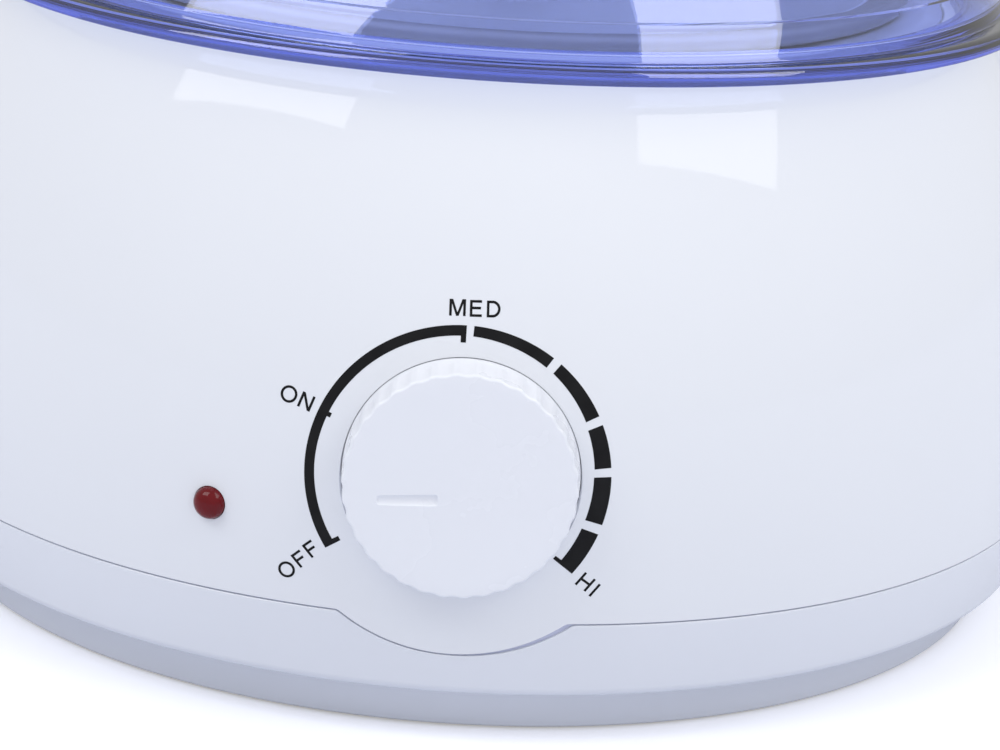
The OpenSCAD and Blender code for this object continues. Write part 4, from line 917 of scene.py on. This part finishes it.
def makeScale():
    flat = bmesh.new()

    def addFace(points):
        return flat.faces.new([flat.verts.new((x, y, 0)) for x, y in points])

    def addRing(outer, inner, closed=True):
        a = [flat.verts.new((x, y, 0)) for x, y in outer]
        b = [flat.verts.new((x, y, 0)) for x, y in inner]
        n = len(a)
        for i in range(n if closed else n - 1):
            j = (i + 1) % n
            flat.faces.new((a[i], a[j], b[j], b[i]))

    def polar(angle, radius):
        a = math.radians(angle)
        return radius * math.cos(a), radius * math.sin(a) + scale["centreV"]

    angleList, innerList = zip(*scaleInner)
    innerAt = lambda a: float(np.interp(a, angleList, innerList))
    for low, high in scaleArcs:
        cuts = sorted(set([low, high] + [x for m in scaleMarks for x in m[:2] if low < x < high]))
        stops = []
        for first, second in zip(cuts, cuts[1:]):
            n = max(1, int((second - first) / scale["stepDeg"]))
            stops += [first + (second - first) * i / n for i in range(n)]
        stops.append(high)
        outer = [polar(a, scale["outer"]) for a in stops]
        addRing(outer, [polar(a, innerAt(a)) for a in stops], closed=False)
        for mLow, mHigh, reach in scaleMarks:
            if low - 0.5 < mLow and mHigh < high + 0.5:
                a0, a1 = max(mLow, low), min(mHigh, high)
                inside = [a for a in stops if a0 - 1e-6 <= a <= a1 + 1e-6]
                addRing([polar(a, innerAt(a)) for a in inside], [polar(a, reach) for a in inside], closed=False)
    shapes = letterShapes()
    tall = scale["capHeight"]
    for letter, u, v, turnDeg in letterPlaces:
        width, outlines, ring = shapes[letter]
        c, s = math.cos(math.radians(turnDeg)), math.sin(math.radians(turnDeg))

        def lay(points):
            centred = [(x - width / 2, y - 0.5) for x, y in points]
            return [(u + tall * (x * c - y * s), v + tall * (x * s + y * c)) for x, y in centred]

        if ring:
            addRing(lay(ring[0]), lay(ring[1]))
        else:
            for outline in outlines:
                addFace(lay(outline))
    bmesh.ops.remove_doubles(flat, verts=flat.verts, dist=1e-4)
    bmesh.ops.recalc_face_normals(flat, faces=flat.faces)
    for face in flat.faces:
        if face.normal.z < 0:
            face.normal_flip()
    raised = bmesh.ops.extrude_face_region(flat, geom=flat.faces[:])
    for item in raised["geom"]:
        if isinstance(item, bmesh.types.BMVert):
            item.co.z = 1
    low = [f for f in flat.faces if all(abs(v.co.z) < 1e-9 for v in f.verts)]
    for face in low:
        if face.normal.z > 0:
            face.normal_flip()
    bmesh.ops.recalc_face_normals(flat, faces=flat.faces)
    for vert in flat.verts:
        lift = scale["raise"] if vert.co.z > 0.5 else -scale["sink"]
        vert.co = onSide(vert.co.x, vert.co.y, lift) * mm
    data = bpy.data.meshes.new("dialScale")
    flat.to_mesh(data)
    flat.free()
    return addObject("dialScale", data)


dress(makeScale(), "printInk", "housing")
print("printed scale made")

# heated well and pot
well = {"inR": 58.0, "outR": 59.5, "floorZ": 29.4, "wall": 1.5, "flangeR": 66.5, "corner": 6.0, "flange": 1.2}


def makeWell():
    w = well
    under, flangeZ, rimZ = w["floorZ"] - w["wall"], housing["rimZ"] - w["flange"], housing["rimZ"]
    corners = [(0, under)] + arcPoints((w["outR"] - w["corner"], under + w["corner"]), w["corner"], -90, 0, 10)
    corners += [(w["outR"], flangeZ, 0.5), (w["flangeR"], flangeZ)]
    corners += [(w["flangeR"], rimZ, 0.3), (w["inR"], rimZ, 1.0)]
    corners += arcPoints((w["inR"] - w["corner"], w["floorZ"] + w["corner"]), w["corner"], 0, -90, 10)
    corners += [(0, w["floorZ"])]
    return smoothOver(turned("heatedWell", softCorners(corners, 5), steps=256, closed=False))


dress(makeWell(), "spunAluminium", "housing", ["heating_well"])

pot = {
    "outR": 56.0,
    "wall": 1.2,
    "floorZ": 29.7,
    "corner": 6.0,
    "rollR": 1.3,
    "rollAt": 60.0,
    "rollZ": 90.0,
    "half": 0.6,  # half the sheet where it runs into the roll
    "ringOut": 44.0,  # raised ring in the floor
    "ringIn": 41.0,
    "ringTall": 0.25,
}


def makePot():
    p = pot
    rollDeg = math.degrees(math.asin(p["half"] / p["rollR"]))
    inR, floorZ = p["outR"] - p["wall"], p["floorZ"] + p["wall"]
    corners = [(0, p["floorZ"])]
    corners += arcPoints((p["outR"] - p["corner"], p["floorZ"] + p["corner"]), p["corner"], -90, 0, 10)
    corners += [(p["outR"], p["rollZ"] - p["half"], 0.7)]
    corners += arcPoints((p["rollAt"], p["rollZ"]), p["rollR"], -180 + rollDeg, 180 - rollDeg, 24)
    corners += [(inR, p["rollZ"] + p["half"], 1.3)]
    corners += arcPoints((inR - p["corner"], floorZ + p["corner"]), p["corner"], 0, -90, 10)
    corners += [(p["ringOut"], floorZ), (p["ringOut"] - 1, floorZ + p["ringTall"]),
                (p["ringIn"] + 1, floorZ + p["ringTall"]), (p["ringIn"], floorZ), (0, floorZ)]
    return smoothOver(turned("innerPot", softCorners(corners, 5), steps=256, closed=False))


def shadeRimWithPaint(piece):
    # painted shade: the rolled rim gets a much darker copy of the aluminium than the wall, which hides the bright
    # band the lamps put on its curve
    piece.data.materials.append(finishes["rimShadedAluminium"])
    low = (pot["rollZ"] - pot["rollR"] - 0.1) * mm
    for face in piece.data.polygons:
        if face.center.z > low and math.hypot(face.center.x, face.center.y) > pot["outR"] * mm:
            face.material_index = 1


shadeRimWithPaint(dress(makePot(), "spunAluminium", "pot", ["inner_pot"]))

bail = {"pivotZ": 94.8, "arcR": 62.6, "bend": 3.0, "wire": 1.5, "start": 55.2, "endSoft": 0.25, "droopDeg": 4.02}


def makeBail():
    b = bail
    elbow, bend, archR = b["arcR"] - b["bend"], b["bend"], b["arcR"]
    half = [(x, 0.0, 0.0) for x in np.linspace(b["start"], elbow, 5)]
    half += [(elbow + bend * math.cos(t), bend + bend * math.sin(t), 0)
             for t in np.linspace(-math.pi / 2, 0, 13)[1:]]
    arch = [(archR * math.cos(t), bend + archR * math.sin(t), 0)
            for t in np.linspace(0, math.pi, 145)[1:-1]]
    flat = half + arch + [(-x, y, z) for x, y, z in reversed(half)]
    turn = Matrix.Translation((0, 0, b["pivotZ"])) @ Matrix.Rotation(math.radians(-b["droopDeg"]), 4, "X")
    flat.insert(1, (b["start"] + b["endSoft"], 0, 0))
    flat.insert(-1, (-b["start"] - b["endSoft"], 0, 0))
    ends = [0.75] + [1.0] * (len(flat) - 2) + [0.75]
    return smoothOver(sweep("bailHandle", [turn @ Vector(p) for p in flat], b["wire"], 28, ends))


dress(makeBail(), "brightSteel", "bail", ["bail_handle"])
print("well, pot and bail made")

# lid
lid = {
    "under": 88.7,
    "edgeR": 80.0,
    "edgeTall": 2.2,
    "wallR": 76.4,
    "wallTall": 4.7,
    "edgeRound": 1.6,
    "leanDeg": 24.5,  # lean of the wall's foot
    "bend": 38.0,  # the wall bends over to the top in this radius
    "step": 0.3,
    "thick": 2.0,
    "crown": 23.4,  # height of the top above the step
    "lipOut": 70.5,
    "lipIn": 69.1,
    "lipLow": 87.0,
    "seatR": 10.0,
    "seatZ": 120.1,
    "seatUnder": 116.9,
    "screwR": 1.65,
}


def makeLid():
    d = lid
    top = d["under"] + d["edgeTall"]
    lean = math.radians(d["leanDeg"])
    middle = (d["wallR"] - d["bend"] * math.cos(lean), top - d["bend"] * math.sin(lean))
    over = d["bend"] - d["step"]
    stepZ = top + d["wallTall"]
    domeZ = stepZ + d["step"]
    rise = domeZ + d["crown"] - middle[1]
    ball = (middle[0] ** 2 + rise ** 2 - over ** 2) / (2 * (rise - over))
    ballZ = domeZ + d["crown"] - ball
    meet = math.degrees(math.atan2(middle[1] - ballZ, middle[0]))
    degAt = lambda z, r: math.degrees(math.asin((z - middle[1]) / r))
    ballAt = lambda r, size: ballZ + math.sqrt(size * size - r * r)
    corners = [(d["lipIn"], d["lipLow"], 0.3), (d["lipOut"], d["lipLow"], 0.3), (d["lipOut"], d["under"], 0.2)]
    corners += [(d["edgeR"], d["under"], 0.18), (d["edgeR"], top, d["edgeRound"])]
    wall = arcPoints(middle, d["bend"], d["leanDeg"], degAt(stepZ, d["bend"]), 12)
    corners += [(*wall[0], 0.5)] + wall[2:-1] + [(*wall[-1], 0.12)]
    dome = arcPoints(middle, over, degAt(domeZ - 0.12, over), meet, 40)
    corners += [(*dome[0], 0.1)] + dome[1:]
    reach = ball * math.cos(math.radians(meet))
    corners += [(r, ballAt(r, ball)) for r in np.linspace(reach, d["seatR"] + 0.5, 26)[1:]]
    corners += [(d["seatR"], d["seatZ"], 0.25), (d["screwR"], d["seatZ"]), (d["screwR"], d["seatUnder"]),
                (d["seatR"], d["seatUnder"], 0.3)]
    reach = (ball - d["thick"]) * math.cos(math.radians(meet))
    corners += [(r, ballAt(r, ball - d["thick"])) for r in np.linspace(d["seatR"] + 0.2, reach, 26)]
    inner = over - d["thick"]
    corners += arcPoints(middle, inner, meet, degAt(top + 0.6, inner), 40)[1:]
    innerR = middle[0] + inner * math.cos(math.radians(degAt(top, inner)))
    corners += [(innerR, top, 0.6), (d["lipIn"], top - 0.4, 0.6)]
    return smoothOver(turned("lidShell", softCorners(corners, 7), steps=400), 35)


dress(makeLid(), "lidClear", "lid", ["lid_shell"])

lidKnob = {
    "r": 15.0,
    "tall": 18.98,
    "waist": 7.5,
    "foot": 9.0,
    "flank": 0.6,  # of the height, below the widest part
    "edge": 0.14,  # of the height, rounding of the widest part
    "boreDeep": 8.0,
    "gap": 0.02,
}


def makeLidKnob():
    k = lidKnob
    edge = k["tall"] * k["edge"]
    flankZ = k["tall"] * k["flank"]
    swell = k["r"] - edge - k["waist"]
    flank = [(k["waist"] + (k["foot"] - k["waist"]) * (1 - t) ** 3 + swell * t ** 4, flankZ * t)
             for t in np.linspace(0, 1, 25)]
    rim = arcPoints((k["r"] - edge, flankZ + edge), edge, -90, 64, 18)
    last = rim[-1]
    crown = [(last[0] * t, k["tall"] - (k["tall"] - last[1]) * t * t) for t in np.linspace(1, 0, 19)[1:]]
    outline = [(0, k["boreDeep"]), (lid["screwR"], k["boreDeep"]), (lid["screwR"], 0.0), (k["foot"] - 0.2, 0.0)]
    outline += flank[1:] + rim[1:] + crown
    onSeat = Matrix.Translation((0, 0, lid["seatZ"] + k["gap"]))
    return smoothOver(turned("lidKnob", outline, steps=160, closed=False, frameMatrix=onSeat), 35)


dress(makeLidKnob(), "lidKnobClear", "lid", ["lid_knob"])
print("lid made")

# CAD pieces that stay
keptFinishes = {
    "housing_screws": "plainSteel", "well_brackets": "plainSteel", "well_screws": "plainSteel",
    "heater_band": "bandSteel", "band_clamp_screw": "plainSteel", "thermal_fuse": "ceramicCream",
    "fuse_clip": "brightSteel", "thermostat_frame": "plainSteel", "thermostat_shaft": "brightSteel",
    "thermostat_screws": "plainSteel", "ceramic_washers": "ceramicCream", "contact_springs": "contactBrass",
    "bimetal_strip": "contactBrass", "stack_rivet": "plainSteel", "knob_spring_clip": "brightSteel",
    "lamp_sleeve": "knobWhite", "neon_lamp": "neonGlass", "terminal_block": "blockWhite",
    "terminal_screws": "contactBrass", "live_wire": "wireBrown", "heater_wire": "wireRed",
    "neutral_wire": "wireBlue", "lamp_wires": "wireGrey", "pot_ears": "brightSteel", "ear_rivets": "spunAluminium",
    "lid_screw": "brightSteel", "lid_washer": "brightSteel",
}
for nodeName, finishName in keptFinishes.items():
    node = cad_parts[nodeName]
    if node.data.materials:
        for index in range(len(node.data.materials)):
            node.data.materials[index] = finishes[finishName]
    else:
        node.data.materials.append(finishes[finishName])
    smoothOver(node, 30)
print("carried-over pieces dressed:", len(keptFinishes))

# floor and light
studio = {
    "floorSize": 8.0,
    "floorDeep": (0.70, 0.725, 0.82),
    "floorPale": (0.72, 0.745, 0.84),
    "floorCloud": 2.0,
    "floorRough": 0.7,
    "floorSpecular": 0.2,
    "floorLift": 0.33,  # extra brightness that only the camera sees, as in an overexposed floor
    "liftColour": (1, 0.98, 0.93),
    "worldColour": (0.995, 0.995, 1.0),
    "worldHigh": 0.83,  # overhead
    "worldLow": 0.74,  # at the horizon and below
    # a softbox stands on its lower edge, which runs from one end to the other, and leans over the object
    "leftBox": {"from": (-1.854, -0.502, 1.166), "to": (-0.622, -0.963, 0.968),
                "tall": 0.9, "lean": 26.6, "radiance": 3.9},
    "rightBox": {"from": (0.679, -0.977, 0.913), "to": (1.447, -0.697, 0.847),
                 "tall": 1.0, "lean": 49.8, "radiance": 3.4},
}


def makeFloor():
    half = studio["floorSize"] / 2 / mm
    corners = [(-half, -half, 0), (half, -half, 0), (half, half, 0), (-half, half, 0)]
    floor = pieceFromMesh("studioFloor", corners, [(0, 1, 2, 3)])
    material, tree, shader, place = nodeSet("floorPaper")
    cloud = noiseField(tree, place, studio["floorCloud"], 3.0)
    paper = colourBetween(tree, cloud, studio["floorDeep"], studio["floorPale"])
    tree.links.new(paper, shader.inputs["Base Color"])
    shader.inputs["Roughness"].default_value = studio["floorRough"]
    shader.inputs["Specular IOR Level"].default_value = studio["floorSpecular"]
    light = tree.nodes.new("ShaderNodeLightPath")
    lift = spread(tree, light.outputs["Is Camera Ray"], 0.0, studio["floorLift"], 0.0, 1.0)
    shader.inputs["Emission Color"].default_value = (*studio["liftColour"], 1)
    tree.links.new(lift, shader.inputs["Emission Strength"])
    floor.data.materials.append(material)


def softbox(name, look):
    start, end = Vector(look["from"]), Vector(look["to"])
    along = (end - start).normalized()
    inward = Vector((-along.y, along.x, 0)).normalized()
    lean = math.radians(look["lean"])
    up = inward * math.sin(lean) + along.cross(inward) * math.cos(lean)
    wide = (end - start).length
    data = bpy.data.lights.new(name, "AREA")
    data.shape = "RECTANGLE"
    data.size, data.size_y = wide, look["tall"]
    data.energy = look["radiance"] * math.pi * wide * look["tall"]
    turn = Matrix((along, up, along.cross(up))).transposed().to_4x4()
    turn.translation = (start + end) / 2 + up * look["tall"] / 2
    addObject(name, data).matrix_world = turn


def makeWorld():
    world = bpy.data.worlds.new("studioWorld")
    bpy.context.scene.world = world
    world.use_nodes = True
    tree = world.node_tree
    sky = tree.nodes["Background"]
    sky.inputs["Color"].default_value = (*studio["worldColour"], 1)
    place = tree.nodes.new("ShaderNodeTexCoord")
    parts = tree.nodes.new("ShaderNodeSeparateXYZ")
    tree.links.new(place.outputs["Generated"], parts.inputs["Vector"])
    height = spread(tree, parts.outputs["Z"], studio["worldLow"], studio["worldHigh"], 0.0, 0.9)
    tree.links.new(height, sky.inputs["Strength"])


def makeStudio():
    makeFloor()
    makeWorld()
    for name in ("leftBox", "rightBox"):
        softbox(name, studio[name])
    view = bpy.context.scene.view_settings
    view.view_transform = "Standard"
    view.look = "None"


makeStudio()
print("studio made")

# end
print("scene built")
